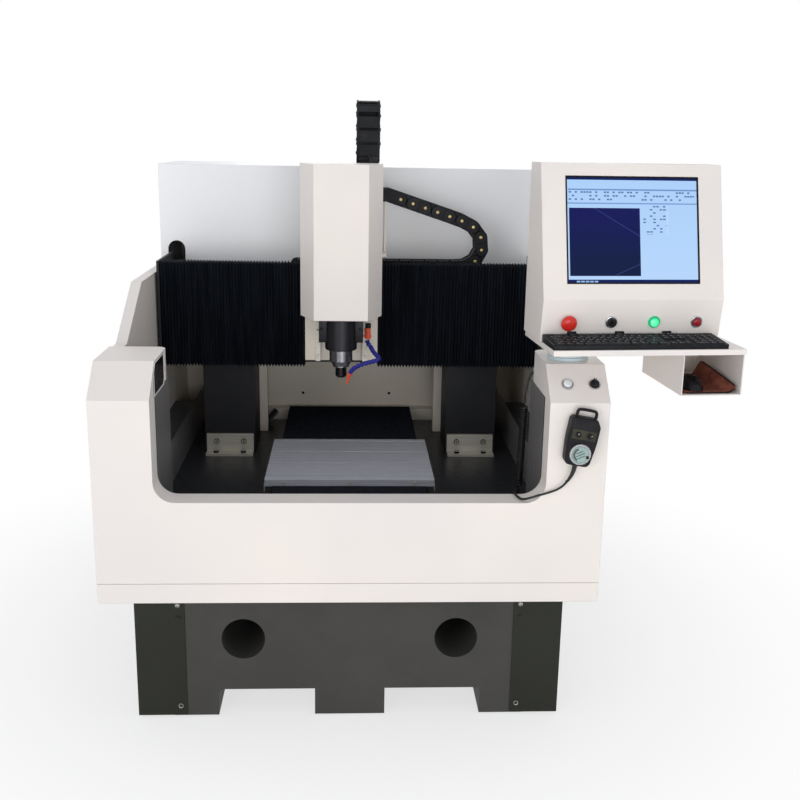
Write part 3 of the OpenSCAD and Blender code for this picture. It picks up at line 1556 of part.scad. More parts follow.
pendant_r = 12;
pendant_foot_w = 62;
magnet_t = 3;
dial_y = -28;
selector_y = 20;
handle_w = 56;
handle_h = 30;
handle_t = 8;
handle_d = 16;
relief_l = 16;
module pendant_body() color(plastic_black) at_pendant() {
  difference() {
    translate([0, 0, magnet_t]) linear_extrude(pendant_d) intersection() {
      rounded(pendant_w, pendant_l, pendant_r);
      polygon([
        [-pendant_foot_w / 2, -pendant_l / 2], [pendant_foot_w / 2, -pendant_l / 2],
        [pendant_w / 2, 0], [pendant_w / 2, pendant_l / 2], [-pendant_w / 2, pendant_l / 2],
        [-pendant_w / 2, 0]
      ]);
    }
    translate([0, dial_y, pendant_top - dial_pin_l])
      cylinder(r = dial_pin_r + pin_gap, h = dial_pin_l + cut);
    for (s = [-1, 1]) translate([s * selector_x, selector_y, pendant_top - dial_pin_l])
      cylinder(r = selector_pin_r + pin_gap, h = dial_pin_l + cut);
  }
  for (s = [-1, 1]) translate([0, s * pendant_l / 4, 0]) cylinder(r = pendant_r, h = magnet_t);
  translate([0, pendant_l / 2 + handle_h / 2 - handle_t, magnet_t + handle_d / 2])
    linear_extrude(handle_d) difference() {
      rounded(handle_w, handle_h, pendant_r);
      rounded(handle_w - 2 * handle_t, handle_h - 2 * handle_t, pendant_r - handle_t);
    }
  translate([0, -pendant_l / 2 - relief_l, pendant_cable_z]) rotate([-90, 0, 0])
    cylinder(r1 = cable_r + 2, r2 = 2 * cable_r + 1, h = relief_l + cut);
}
pendant_top = magnet_t + pendant_d;
pendant_cable_z = magnet_t + pendant_d / 2;
dial_pin_r = 5;
dial_pin_l = 16;
selector_pin_r = 3;
dial_h = 9;
dial_teeth = 30;

dial_notch_r = 1.4;
dial_rim = 3;
dial_groove_w = 9;
dial_groove_h = 2;
crank_r = 4;
crank_h = 10;

// Hand wheel of the pendant with its crank knob
module pendant_dial() color(steel) at_pendant() translate([0, dial_y, pendant_top + seat]) {
  difference() {
    cylinder(r = dial_r, h = dial_h);
    translate([0, 0, dial_h - dial_groove_h]) difference() {
      cylinder(r = dial_r - dial_rim, h = dial_h);
      translate([0, 0, -cut]) cylinder(r = dial_r - dial_rim - dial_groove_w, h = dial_h + 2 * cut);
    }
    for (i = [0 : dial_teeth - 1]) rotate(i * 360 / dial_teeth)
      translate([dial_r + dial_notch_r / 2, 0, -cut])
        cylinder(r = dial_notch_r, h = dial_h + 2 * cut, $fn = 16);
  }
  translate([dial_r - 2 * dial_rim - crank_r + cut, 0, dial_h - dial_groove_h])
    cylinder(r = crank_r, h = crank_h + dial_groove_h);
  translate([0, 0, -dial_pin_l + cut]) cylinder(r = dial_pin_r, h = dial_pin_l);
}

selector_h = 6;
selector_grip_w = 3;
selector_grip_h = 10;
module selector() {
  translate([0, 0, -dial_pin_l + cut]) cylinder(r = selector_pin_r, h = dial_pin_l);
  cylinder(r = selector_r, h = selector_h);
  translate([-selector_grip_w / 2, -selector_r, 0])
    cube([selector_grip_w, 2 * selector_r, selector_grip_h]);
}
module pendant_selector_l() color(plastic_black) at_pendant()
  translate([-selector_x, selector_y, pendant_top + seat]) selector();
module pendant_selector_r() color(plastic_black) at_pendant()
  translate([selector_x, selector_y, pendant_top + seat]) selector();

/* Pendant's cable */

// Point of the pendant, in machine coordinates
function pendant_point(u, v, w) = [
  pendant_x + u * cos(pendant_turn) + v * sin(pendant_turn), -w,
  pendant_z - u * sin(pendant_turn) + v * cos(pendant_turn)
];
relief_end = pendant_point(0, -pendant_l / 2 - relief_l, pendant_cable_z);
curl_low = [470, 290, 590];
curl_high = [477, 290, 848];
gland_at = [pillar_x + 12, pillar_d + 8, 936];
gland_h = 8;
lower_route = [
  relief_end, [541, -19, 722], [523, -14, 700], [496, -10, 686], [468, -8, 677], [447, -2, 668],
  [433, 14, 660], [424, 42, 659], [420, 75, 657], [420, 92, 630], [426, 110, 585], [434, 135, 545],
  [444, 170, 525], [455, 215, 520], [464, 260, 532], [469, 284, 562], curl_low
];
upper_route = [
  curl_high, [479, 291, 872], [485, 295, 902], [495, 296, 926], gland_at + [0, gland_h, 0],
  gland_at - [0, gland_h / 2, 0]
];

// Point of a smooth curve through p at parameter t, counted in points
function smooth(p, t) =
  let (i = min(floor(t), len(p) - 2), f = t - i,
       a = p[max(i - 1, 0)], b = p[i], c = p[i + 1], d = p[min(i + 2, len(p) - 1)])
  0.5 * ((2 * b) + (c - a) * f + (2 * a - 5 * b + 4 * c - d) * f * f
         + (3 * b - a - 3 * c + d) * f * f * f);

function unit(v) = v / norm(v);

// Side directions along a curve, without twist
function carried(dirs, side, i = 0) =
  i == len(dirs) ? []
  : let (s = unit(side - (side * dirs[i]) * dirs[i])) concat([s], carried(dirs, s, i + 1));

// Tube of radius r along a smooth curve through p, steps rings to a stretch
module tube(p, r, steps, first_side) {
  n = (len(p) - 1) * steps;
  c = [for (i = [0 : n]) smooth(p, i / steps)];
  dirs = [for (i = [0 : n]) unit(c[min(i + 1, n)] - c[max(i - 1, 0)])];
  sides = carried(dirs, first_side);
  points = [
    for (i = [0 : n]) let (v = cross(dirs[i], sides[i])) for (k = [0 : cable_sides - 1])
      c[i] + r * (cos(360 * k / cable_sides) * sides[i] + sin(360 * k / cable_sides) * v)
  ];
  walls = [
    for (i = [0 : n - 1], k = [0 : cable_sides - 1])
      let (a = i * cable_sides + k, b = i * cable_sides + (k + 1) % cable_sides)
        [a, a + cable_sides, b + cable_sides, b]
  ];
  start = [for (k = [0 : cable_sides - 1]) k];
  finish = [for (k = [cable_sides - 1 : -1 : 0]) n * cable_sides + k];
  polyhedron(points, concat(walls, [start], [finish]));
}

module cable_lower() color(plastic_black) placed() tube(lower_route, cable_r, 3, [0, 1, 0]);
module cable_curl() color(plastic_black) placed() rod(curl_low, curl_high, curl_r, curl_r);
module cable_upper() color(plastic_black) placed() tube(upper_route, cable_r, 3, [0, 1, 0]);

// Gland that the cable goes into
module gland() difference() {
  cylinder(r = 2 * cable_r + 3, h = gland_h);
  translate([0, 0, -cut]) cylinder(r = cable_r + 1, h = gland_h + 2 * cut);
}

base_frame();
base_covers();
skirt();
front_shell();
side_wall_l();
side_wall_r();
hood();
rear_panel();
pan();
back_wall();
columns();
column_brackets();
beam();
rails();
axis_motors();
x_bellows_l();
x_bellows_r();
x_chain();
y_bellows_front();
y_bellows_rear();
x_screw();
y_screw();
table_plate();
table_saddle();
table_trim();
carriage();
z_rails();
z_motor();
z_chain();
z_screw();
z_plate();
spindle_clamp();
spindle_body();
spindle_nose();
head_cover();
collet_nut();
coolant_valve();
coolant_knob();
coolant_hose();
console_plinth();
console_box();
console_tray();
screen();
console_bezels();
keyboard();
mouse();
estop();
key_switch();
green_button();
red_button();
pillar_bezels();
pillar_button();
pillar_knob();
pendant_body();
pendant_dial();
pendant_selector_l();
pendant_selector_r();
cable_lower();
cable_curl();
cable_upper();
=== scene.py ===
"""Looks of an enclosed engraving machine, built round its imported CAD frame.

Metres. +X is the machine's right, +Y its rear, +Z up, and the origin is on the floor under
the middle of the cabinet. Sizes that repeat a value of the CAD source are named as there.
"""

import logging
import math
from dataclasses import dataclass, field
from enum import Enum
from typing import Callable, ClassVar, Iterable, Optional, Sequence, Union

import bmesh
import bpy
from mathutils import Matrix, Vector


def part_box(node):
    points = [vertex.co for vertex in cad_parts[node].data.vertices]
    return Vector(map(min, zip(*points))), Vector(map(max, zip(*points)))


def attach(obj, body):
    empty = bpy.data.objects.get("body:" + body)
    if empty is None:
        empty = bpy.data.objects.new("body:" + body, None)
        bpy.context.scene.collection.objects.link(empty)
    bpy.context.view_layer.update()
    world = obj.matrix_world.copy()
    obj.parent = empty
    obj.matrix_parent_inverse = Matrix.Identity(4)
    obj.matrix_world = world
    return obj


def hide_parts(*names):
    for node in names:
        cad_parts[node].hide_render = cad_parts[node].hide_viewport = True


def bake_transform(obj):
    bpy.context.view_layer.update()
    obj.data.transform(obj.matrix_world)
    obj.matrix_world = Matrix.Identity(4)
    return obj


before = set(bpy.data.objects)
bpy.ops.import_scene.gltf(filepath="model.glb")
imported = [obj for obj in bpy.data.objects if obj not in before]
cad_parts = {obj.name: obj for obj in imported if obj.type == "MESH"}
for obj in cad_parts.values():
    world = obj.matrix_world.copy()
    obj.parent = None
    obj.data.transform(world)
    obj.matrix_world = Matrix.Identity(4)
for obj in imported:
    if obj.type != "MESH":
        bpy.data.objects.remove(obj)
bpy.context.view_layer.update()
log = logging.getLogger("engraving_machine")

Triple = tuple[float, float, float]
Colour = Triple
Outline = Sequence[tuple[float, float]]
Finishes = dict[str, bpy.types.Material]
Number = Union["Sock", float]
# Millimetres from the cabinet's front, where y starts in the CAD source, to the frame's origin.
FRONT_TO_MIDDLE = 750.0
# Vertices nearer than this many metres are merged.
WELD = 0.00002
# Stands a flat side view up: its x points to the machine's rear, its y up, its z to the right.
SIDEWAYS = Matrix.Rotation(math.pi / 2, 4, "Z") @ Matrix.Rotation(math.pi / 2, 4, "X")


def srgb(red: int, green: int, blue: int) -> Colour:
    """Turns a colour as a screen shows it, 0 to 255, into linear light.

    Args:
        red: Red part.
        green: Green part.
        blue: Blue part.

    Returns:
        The linear colour.
    """
    def linear(part: int) -> float:
        """Returns the linear light of one part."""
        share = part / 255
        return share / 12.92 if share <= 0.04045 else ((share + 0.055) / 1.055) ** 2.4

    return linear(red), linear(green), linear(blue)


class Sock:
    """One output of a shader node, with the arithmetic that Math nodes give it."""

    def __init__(self, graph: "Graph", socket: bpy.types.NodeSocket) -> None:
        """Keeps the socket and the graph that it belongs to."""
        self.graph = graph
        self.socket = socket

    def __add__(self, other: Number) -> "Sock":
        """Sum."""
        return self.graph.math("ADD", self, other)

    def __radd__(self, other: Number) -> "Sock":
        """Sum, reflected."""
        return self.graph.math("ADD", other, self)

    def __sub__(self, other: Number) -> "Sock":
        """Difference."""
        return self.graph.math("SUBTRACT", self, other)

    def __rsub__(self, other: Number) -> "Sock":
        """Difference, reflected."""
        return self.graph.math("SUBTRACT", other, self)

    def __mul__(self, other: Number) -> "Sock":
        """Product."""
        return self.graph.math("MULTIPLY", self, other)

    def __rmul__(self, other: Number) -> "Sock":
        """Product, reflected."""
        return self.graph.math("MULTIPLY", other, self)

    def __truediv__(self, other: Number) -> "Sock":
        """Quotient."""
        return self.graph.math("DIVIDE", self, other)

    def __gt__(self, other: Number) -> "Sock":
        """One where this is greater, else nought."""
        return self.graph.math("GREATER_THAN", self, other)

    def __lt__(self, other: Number) -> "Sock":
        """One where this is less, else nought."""
        return self.graph.math("LESS_THAN", self, other)

    def __abs__(self) -> "Sock":
        """Size without sign."""
        return self.graph.math("ABSOLUTE", self)

    def fraction(self) -> "Sock":
        """Part after the point."""
        return self.graph.math("FRACT", self)

    def floor(self) -> "Sock":
        """Whole number below."""
        return self.graph.math("FLOOR", self)

    def sine(self) -> "Sock":
        """Sine."""
        return self.graph.math("SINE", self)

    def clip(self) -> "Sock":
        """Kept from 0 to 1."""
        return self.graph.math("ADD", self, 0.0, clamp=True)

    def smooth(self, low: float, high: float) -> "Sock":
        """Rises smoothly from 0 at low to 1 at high.

        Args:
            low: Where the rise starts.
            high: Where it ends; below low, the result falls instead.

        Returns:
            The smooth step.
        """
        flip = high < low
        node = self.graph.node("ShaderNodeMapRange", {"interpolation_type": "SMOOTHSTEP"}, {
            "Value": self, "From Min": min(low, high), "From Max": max(low, high),
            "To Min": float(flip), "To Max": float(not flip)})
        return Sock(self.graph, node.outputs["Result"])


class Graph:
    """A material's nodes, and the few ways in which they are added."""

    def __init__(self, name: str) -> None:
        """Starts an empty material.

        Args:
            name: The material's name.
        """
        self.material = bpy.data.materials.new(name)
        self.material.use_nodes = True
        self.tree = self.material.node_tree
        self.tree.nodes.clear()

    def node(self, kind: str, settings: Optional[dict] = None,
             inputs: Optional[dict] = None) -> bpy.types.Node:
        """Adds any node.

        Args:
            kind: The node's type.
            settings: Its settings by name; "stops" are a ramp's (position, colour) pairs.
            inputs: Values or links of its sockets, by name or by number.

        Returns:
            The node.
        """
        node = self.tree.nodes.new(kind)
        for key, value in (settings or {}).items():
            if key == "stops":
                ramp = node.color_ramp
                while len(ramp.elements) < len(value):
                    ramp.elements.new(0.5)
                for element, (position, colour) in zip(ramp.elements, value):
                    element.position = position
                    element.color = (*colour, 1)
            else:
                setattr(node, key, value)
        for key, value in (inputs or {}).items():
            if isinstance(value, Sock):
                self.tree.links.new(value.socket, node.inputs[key])
            elif value is not None:
                target = node.inputs[key]
                whole = isinstance(value, tuple) and target.type == "RGBA" and len(value) == 3
                target.default_value = (*value, 1) if whole else value
        return node

    def math(self, operation: str, a: Number, b: Number = 0.0, clamp: bool = False) -> Sock:
        """Adds a Math node.

        Args:
            operation: What it does.
            a: First value or link.
            b: Second value or link.
            clamp: Whether the result is kept from 0 to 1.

        Returns:
            Its result.
        """
        settings = {"operation": operation, "use_clamp": clamp}
        node = self.node("ShaderNodeMath", settings, {0: a, 1: b})
        return Sock(self, node.outputs[0])

    def vector(self, operation: str, a: Sock, b: Triple = (0.0, 0.0, 0.0),
               value: bool = False) -> Sock:
        """Adds a Vector Math node.

        Args:
            operation: What it does.
            a: First vector.
            b: Second vector.
            value: Whether its single number is wanted.

        Returns:
            Its result.
        """
        node = self.node("ShaderNodeVectorMath", {"operation": operation}, {0: a, 1: b})
        return Sock(self, node.outputs["Value" if value else "Vector"])

    def mix(self, factor: Number, a: Union[Sock, Colour], b: Union[Sock, Colour]) -> Sock:
        """Mixes two colours.

        Args:
            factor: Share of the second.
            a: First colour.
            b: Second colour.

        Returns:
            The mixed colour.
        """
        node = self.node("ShaderNodeMix", {"data_type": "RGBA"}, {0: factor, 6: a, 7: b})
        return Sock(self, node.outputs[2])

    def place(self) -> Sock:
        """Returns the point in the row's frame, in metres."""
        return Sock(self, self.node("ShaderNodeTexCoord").outputs["Object"])

    def parts(self, vector: Sock) -> tuple[Sock, Sock, Sock]:
        """Splits a vector.

        Args:
            vector: The vector.

        Returns:
            Its x, y and z.
        """
        node = self.node("ShaderNodeSeparateXYZ", None, {0: vector})
        x, y, z = (Sock(self, node.outputs[part]) for part in range(3))
        return x, y, z

    def noise(self, vector: Sock, scale: float, detail: float = 3.0, rough: float = 0.5) -> Sock:
        """Adds smooth noise.

        Args:
            vector: Where it is read.
            scale: Waves to the metre.
            detail: Finer layers on it.
            rough: Strength of the finer layers.

        Returns:
            The noise, about 0.5.
        """
        node = self.node("ShaderNodeTexNoise", None, {
            "Vector": vector, "Scale": scale, "Detail": detail, "Roughness": rough})
        return Sock(self, node.outputs[0])

    def stretched(self, vector: Sock, sizes: Triple) -> Sock:
        """Returns the vector with its parts multiplied."""
        return self.vector("MULTIPLY", vector, sizes)

    def facing(self) -> tuple[Sock, Sock, Sock]:
        """Returns the parts of the surface's outward direction in the row's frame."""
        return self.parts(Sock(self, self.node("ShaderNodeNewGeometry").outputs["Normal"]))

    def bump(self, height: Sock, distance: float, strength: float = 1.0,
             normal: Optional[Sock] = None) -> Sock:
        """Adds relief.

        Args:
            height: Height of the relief, 0 to 1.
            distance: Its depth in metres.
            strength: Its strength.
            normal: The direction under it.

        Returns:
            The bumped normal.
        """
        node = self.node("ShaderNodeBump", None, {
            "Height": height, "Distance": distance, "Strength": strength, "Normal": normal})
        return Sock(self, node.outputs[0])

    def soft_edges(self, radius: float) -> Sock:
        """Returns a normal that rounds sharp edges by a radius in metres."""
        node = self.node("ShaderNodeBevel", {"samples": 4}, {"Radius": radius})
        return Sock(self, node.outputs[0])

    def surface(self, **inputs: Union[Sock, float, Colour]) -> bpy.types.Material:
        """Adds the shader and the output.

        Args:
            **inputs: The shader's inputs, with _ for a space in their names.

        Returns:
            The finished material.
        """
        named = {key.replace("_", " "): value for key, value in inputs.items()}
        shader = self.node("ShaderNodeBsdfPrincipled", None, named)
        output = self.node("ShaderNodeOutputMaterial")
        self.tree.links.new(shader.outputs[0], output.inputs[0])
        return self.material


class Grain(Enum):
    """Direction that brushing runs in, as the stretch of its noise along x, y and z."""

    ALONG_X = (6.0, 900.0, 900.0)
    ALONG_Y = (900.0, 6.0, 900.0)
    ALONG_Z = (900.0, 900.0, 6.0)
    ROUND_Z = (420.0, 420.0, 1400.0)


@dataclass(frozen=True)
class Paint:
    """Sprayed or powder-coated sheet with a fine orange peel and softened edges."""

    name: str
    colour: Colour
    dust_and_top_shading: Colour
    roughness: float = 0.38
    peel: float = 0.00006
    edge: float = 0.002
    grime: float = 0.25
    gloss: float = 0.5
    coat: float = 0.12
    flank_lighting: Optional[Colour] = None

    def make(self) -> bpy.types.Material:
        """Makes the material.

        Returns:
            The material.
        """
        g = Graph(self.name)
        at = g.place()
        side, _, up = g.facing()
        broad = g.noise(at, 2.2, 2.0)
        fine = g.noise(at, 160.0, 2.0)
        dust = g.noise(at, 24.0, 4.0, 0.65).smooth(0.52, 0.78) * self.grime
        tone = g.mix(broad.smooth(0.3, 0.75) * 0.55, self.colour, self.dust_and_top_shading)
        tone = g.mix(dust * 0.35, tone, self.dust_and_top_shading)
        # Painted light and shade: faces that look up take up to a third of the second colour, so
        # pale paints get darker tops and dark ones paler tops.
        tone = g.mix(up.smooth(0.2, 1.0) * 0.35, tone, self.dust_and_top_shading)
        # Painted light: faces that look along x take the flank colour, a lit side drawn into the
        # paint.
        if self.flank_lighting:
            tone = g.mix(abs(side).smooth(0.4, 0.9), tone, self.flank_lighting)
        relief = g.bump(fine, self.peel, 0.5, g.soft_edges(self.edge))
        return g.surface(Base_Color=tone, Roughness=self.roughness + dust * 0.3 + fine * 0.06,
                         Specular_IOR_Level=self.gloss, Coat_Weight=self.coat,
                         Coat_Roughness=0.25, Normal=relief)


@dataclass(frozen=True)
class Casting:
    """Painted casting: a coarse skin with filler under it and rubbed scuffs."""

    name: str
    colour: Colour
    rubbed: Colour
    roughness: float = 0.5
    skin: float = 0.0004
    gloss: float = 0.2

    def make(self) -> bpy.types.Material:
        """Makes the material.

        Returns:
            The material.
        """
        g = Graph(self.name)
        at = g.place()
        broad = g.noise(at, 3.5, 4.0, 0.6)
        coarse = g.noise(at, 45.0, 3.0)
        fine = g.noise(at, 320.0, 2.0)
        scuffs = g.noise(g.stretched(at, (9.0, 9.0, 60.0)), 1.0, 5.0, 0.7).smooth(0.6, 0.8)
        tone = g.mix(broad.smooth(0.35, 0.7) * 0.5, self.colour, self.rubbed)
        tone = g.mix(scuffs * 0.25, tone, self.rubbed)
        relief = g.bump(coarse * 0.7 + fine * 0.3, self.skin, 0.45, g.soft_edges(0.0025))
        return g.surface(Base_Color=tone, Roughness=self.roughness + coarse * 0.15,
                         Specular_IOR_Level=self.gloss, Normal=relief)


@dataclass(frozen=True)
class Metal:
    """Bare metal with brushing or turning marks."""

    name: str
    colour: Colour
    dark: Colour
    roughness: float = 0.28
    grain: Grain = Grain.ALONG_X
    marks: float = 0.00005
    metallic: float = 1.0

    def make(self) -> bpy.types.Material:
        """Makes the material.

        Returns:
            The material.
        """
        g = Graph(self.name)
        at = g.place()
        strokes = g.noise(g.stretched(at, self.grain.value), 1.0, 4.0, 0.6)
        stain = g.noise(at, 14.0, 4.0, 0.6).smooth(0.45, 0.75)
        tone = g.mix(strokes.smooth(0.3, 0.75), self.colour, self.dark)
        tone = g.mix(stain * 0.3, tone, self.dark)
        relief = g.bump(strokes, self.marks, 0.5, g.soft_edges(0.0006))
        return g.surface(Base_Color=tone, Metallic=self.metallic,
                         Roughness=self.roughness + strokes * 0.12 + stain * 0.1, Normal=relief)


@dataclass(frozen=True)
class Moulded:
    """Moulded plastic with a spark-eroded texture and faint handling shine."""

    name: str
    colour: Colour
    worn: Colour
    roughness: float = 0.45
    texture: float = 0.00008
    coat: float = 0.0
    glow: float = 0.0
    gloss: float = 0.16

    def make(self) -> bpy.types.Material:
        """Makes the material.

        Returns:
            The material.
        """
        g = Graph(self.name)
        at = g.place()
        grain = g.noise(at, 900.0, 2.0)
        touch = g.noise(at, 30.0, 3.0).smooth(0.4, 0.8)
        tone = g.mix(touch * 0.5, self.colour, self.worn)
        relief = g.bump(grain, self.texture, 0.6, g.soft_edges(0.0008))
        return g.surface(Base_Color=tone, Roughness=self.roughness + grain * 0.1 - touch * 0.08,
                         Coat_Weight=self.coat, Coat_Roughness=0.1, Emission_Color=tone,
                         Emission_Strength=self.glow, Specular_IOR_Level=self.gloss, Normal=relief)


@dataclass(frozen=True)
class CoatedCloth:
    """Coated cloth of the folding covers: fine weave, and paler streaks and dust laid at random."""

    name: str
    colour: Colour
    pale_streak_tone: Colour

    def make(self) -> bpy.types.Material:
        """Makes the material.

        Returns:
            The material.
        """
        g = Graph(self.name)
        at = g.place()
        x, y, z = g.parts(at)
        threads = ((x + y) * 2600.0).sine() * ((z - y) * 2600.0).sine() * 0.5 + 0.5
        streak = g.noise(g.stretched(at, (60.0, 60.0, 4.0)), 1.0, 3.0, 0.6)
        dust = g.noise(at, 90.0, 4.0, 0.7).smooth(0.5, 0.8)
        # Paler streaks that run up and down at random, not placed on the ridges.
        tone = g.mix(streak.smooth(0.35, 0.75), self.colour, self.pale_streak_tone)
        tone = g.mix(dust * 0.25, tone, self.pale_streak_tone)
        relief = g.bump(threads * 0.5 + streak, 0.00025, 0.5)
        return g.surface(Base_Color=tone, Roughness=0.55 + streak * 0.2, Normal=relief,
                         Specular_IOR_Level=0.1)


@dataclass(frozen=True)
class Display:
    """Lit display with a plain drawing program on it: bars, a dark sheet and a side panel.

    Places on it are shares of its width and height, from its lower left corner. A bar is its
    left, right, foot and top, its colour, and what cells() takes where marks fill it.
    """

    name: str
    origin: Vector
    right: Vector
    up: Vector
    width: float
    height: float
    bars: Sequence[tuple[tuple[float, ...], tuple[int, int, int], tuple[float, ...]]] = (
        ((0.0, 1.0, 0.965, 1.0), (20, 34, 92), ()),
        ((0.02, 1.0, 0.868, 0.882), (112, 150, 204), ()),
        ((0.02, 0.97, 0.76, 0.865), (92, 124, 178), (46, 30, 0.45, 4.1)),
        ((0.0, 1.0, 0.742, 0.754), (122, 160, 212), ()),
        ((0.58, 0.76, 0.46, 0.73), (92, 124, 178), (40, 34, 0.40, 8.6)),
        ((0.76, 0.765, 0.46, 0.73), (206, 228, 254), ()),
        ((0.0, 1.0, 0.0, 0.042), (20, 34, 92), ()),
        ((0.05, 0.24, 0.008, 0.034), (150, 190, 236), (30, 24, 0.8, 2.9)))
    sheet: tuple[float, ...] = (0.025, 0.555, 0.075, 0.705)
    line_w: float = 0.003
    glow: float = 0.95

    def make(self) -> bpy.types.Material:
        """Makes the material.

        Returns:
            The material.
        """
        g = Graph(self.name)
        local = g.vector("SUBTRACT", g.place(), tuple(self.origin))
        u = g.vector("DOT_PRODUCT", local, tuple(self.right), value=True) / self.width
        v = g.vector("DOT_PRODUCT", local, tuple(self.up), value=True) / self.height

        def box(u0: float, u1: float, v0: float, v1: float) -> Sock:
            """Returns one inside a rectangle, else nought."""
            return (u > u0) * (u < u1) * (v > v0) * (v < v1)

        def cells(columns: float, rows: float, fill: float, seed: float) -> Sock:
            """Draws small marks in rows, some of them left out.

            Args:
                columns: Cells across the whole display.
                rows: Cells up it.
                fill: Share of the cells that are marked.
                seed: Changes which ones.

            Returns:
                One inside a mark, else nought.
            """
            row, column = v * rows, u * columns
            number = row.floor() * 12.9898 + column.floor() * 78.233 + seed
            pick = (number.sine() * 437.5).fraction()
            inside = (row.fraction() > 0.3) * (row.fraction() < 0.75) * (column.fraction() > 0.2)
            return inside * (abs(pick) < fill)

        tone = g.mix(v.smooth(0.0, 1.0), srgb(184, 216, 254), srgb(176, 211, 252))
        for place, colour, marks in self.bars:
            share = box(*place) * cells(*marks) if marks else box(*place)
            tone = g.mix(share, tone, srgb(*colour))
        falling = (abs(u * 0.76 + v - 0.865) < self.line_w) * (u > 0.2)
        rising = (abs(v - 0.08 - (u - 0.36) * 0.55) < self.line_w) * (u > 0.36)
        dark = g.mix(v.smooth(0.1, 0.7), srgb(18, 32, 70), srgb(24, 28, 90))
        drawing = g.mix((falling + rising).clip() * 0.6, dark, srgb(70, 84, 150))
        tone = g.mix(box(*self.sheet), tone, drawing)
        tone = g.mix(1 - box(0.0, 1.0, 0.0, 1.0), tone, srgb(14, 15, 18))
        return g.surface(Base_Color=g.mix(0.97, tone, (0.0, 0.0, 0.0)), Roughness=0.4,
                         Emission_Color=tone, Emission_Strength=self.glow,
                         Specular_IOR_Level=0.05)


@dataclass(frozen=True)
class Mat:
    """Printed cloth pad: a plain two-tone weave with a dark hem."""

    name: str
    colour: Colour
    print_colour: Colour

    def make(self) -> bpy.types.Material:
        """Makes the material.

        Returns:
            The material.
        """
        g = Graph(self.name)
        at = g.place()
        x, y, _ = g.parts(at)
        cloud = g.noise(at, 28.0, 4.0, 0.6).smooth(0.4, 0.65)
        weave = (x * 3000.0).sine() * (y * 3000.0).sine() * 0.5 + 0.5
        tone = g.mix(cloud * 0.6, self.colour, self.print_colour)
        return g.surface(Base_Color=tone, Roughness=0.85, Normal=g.bump(weave, 0.0002, 0.6))


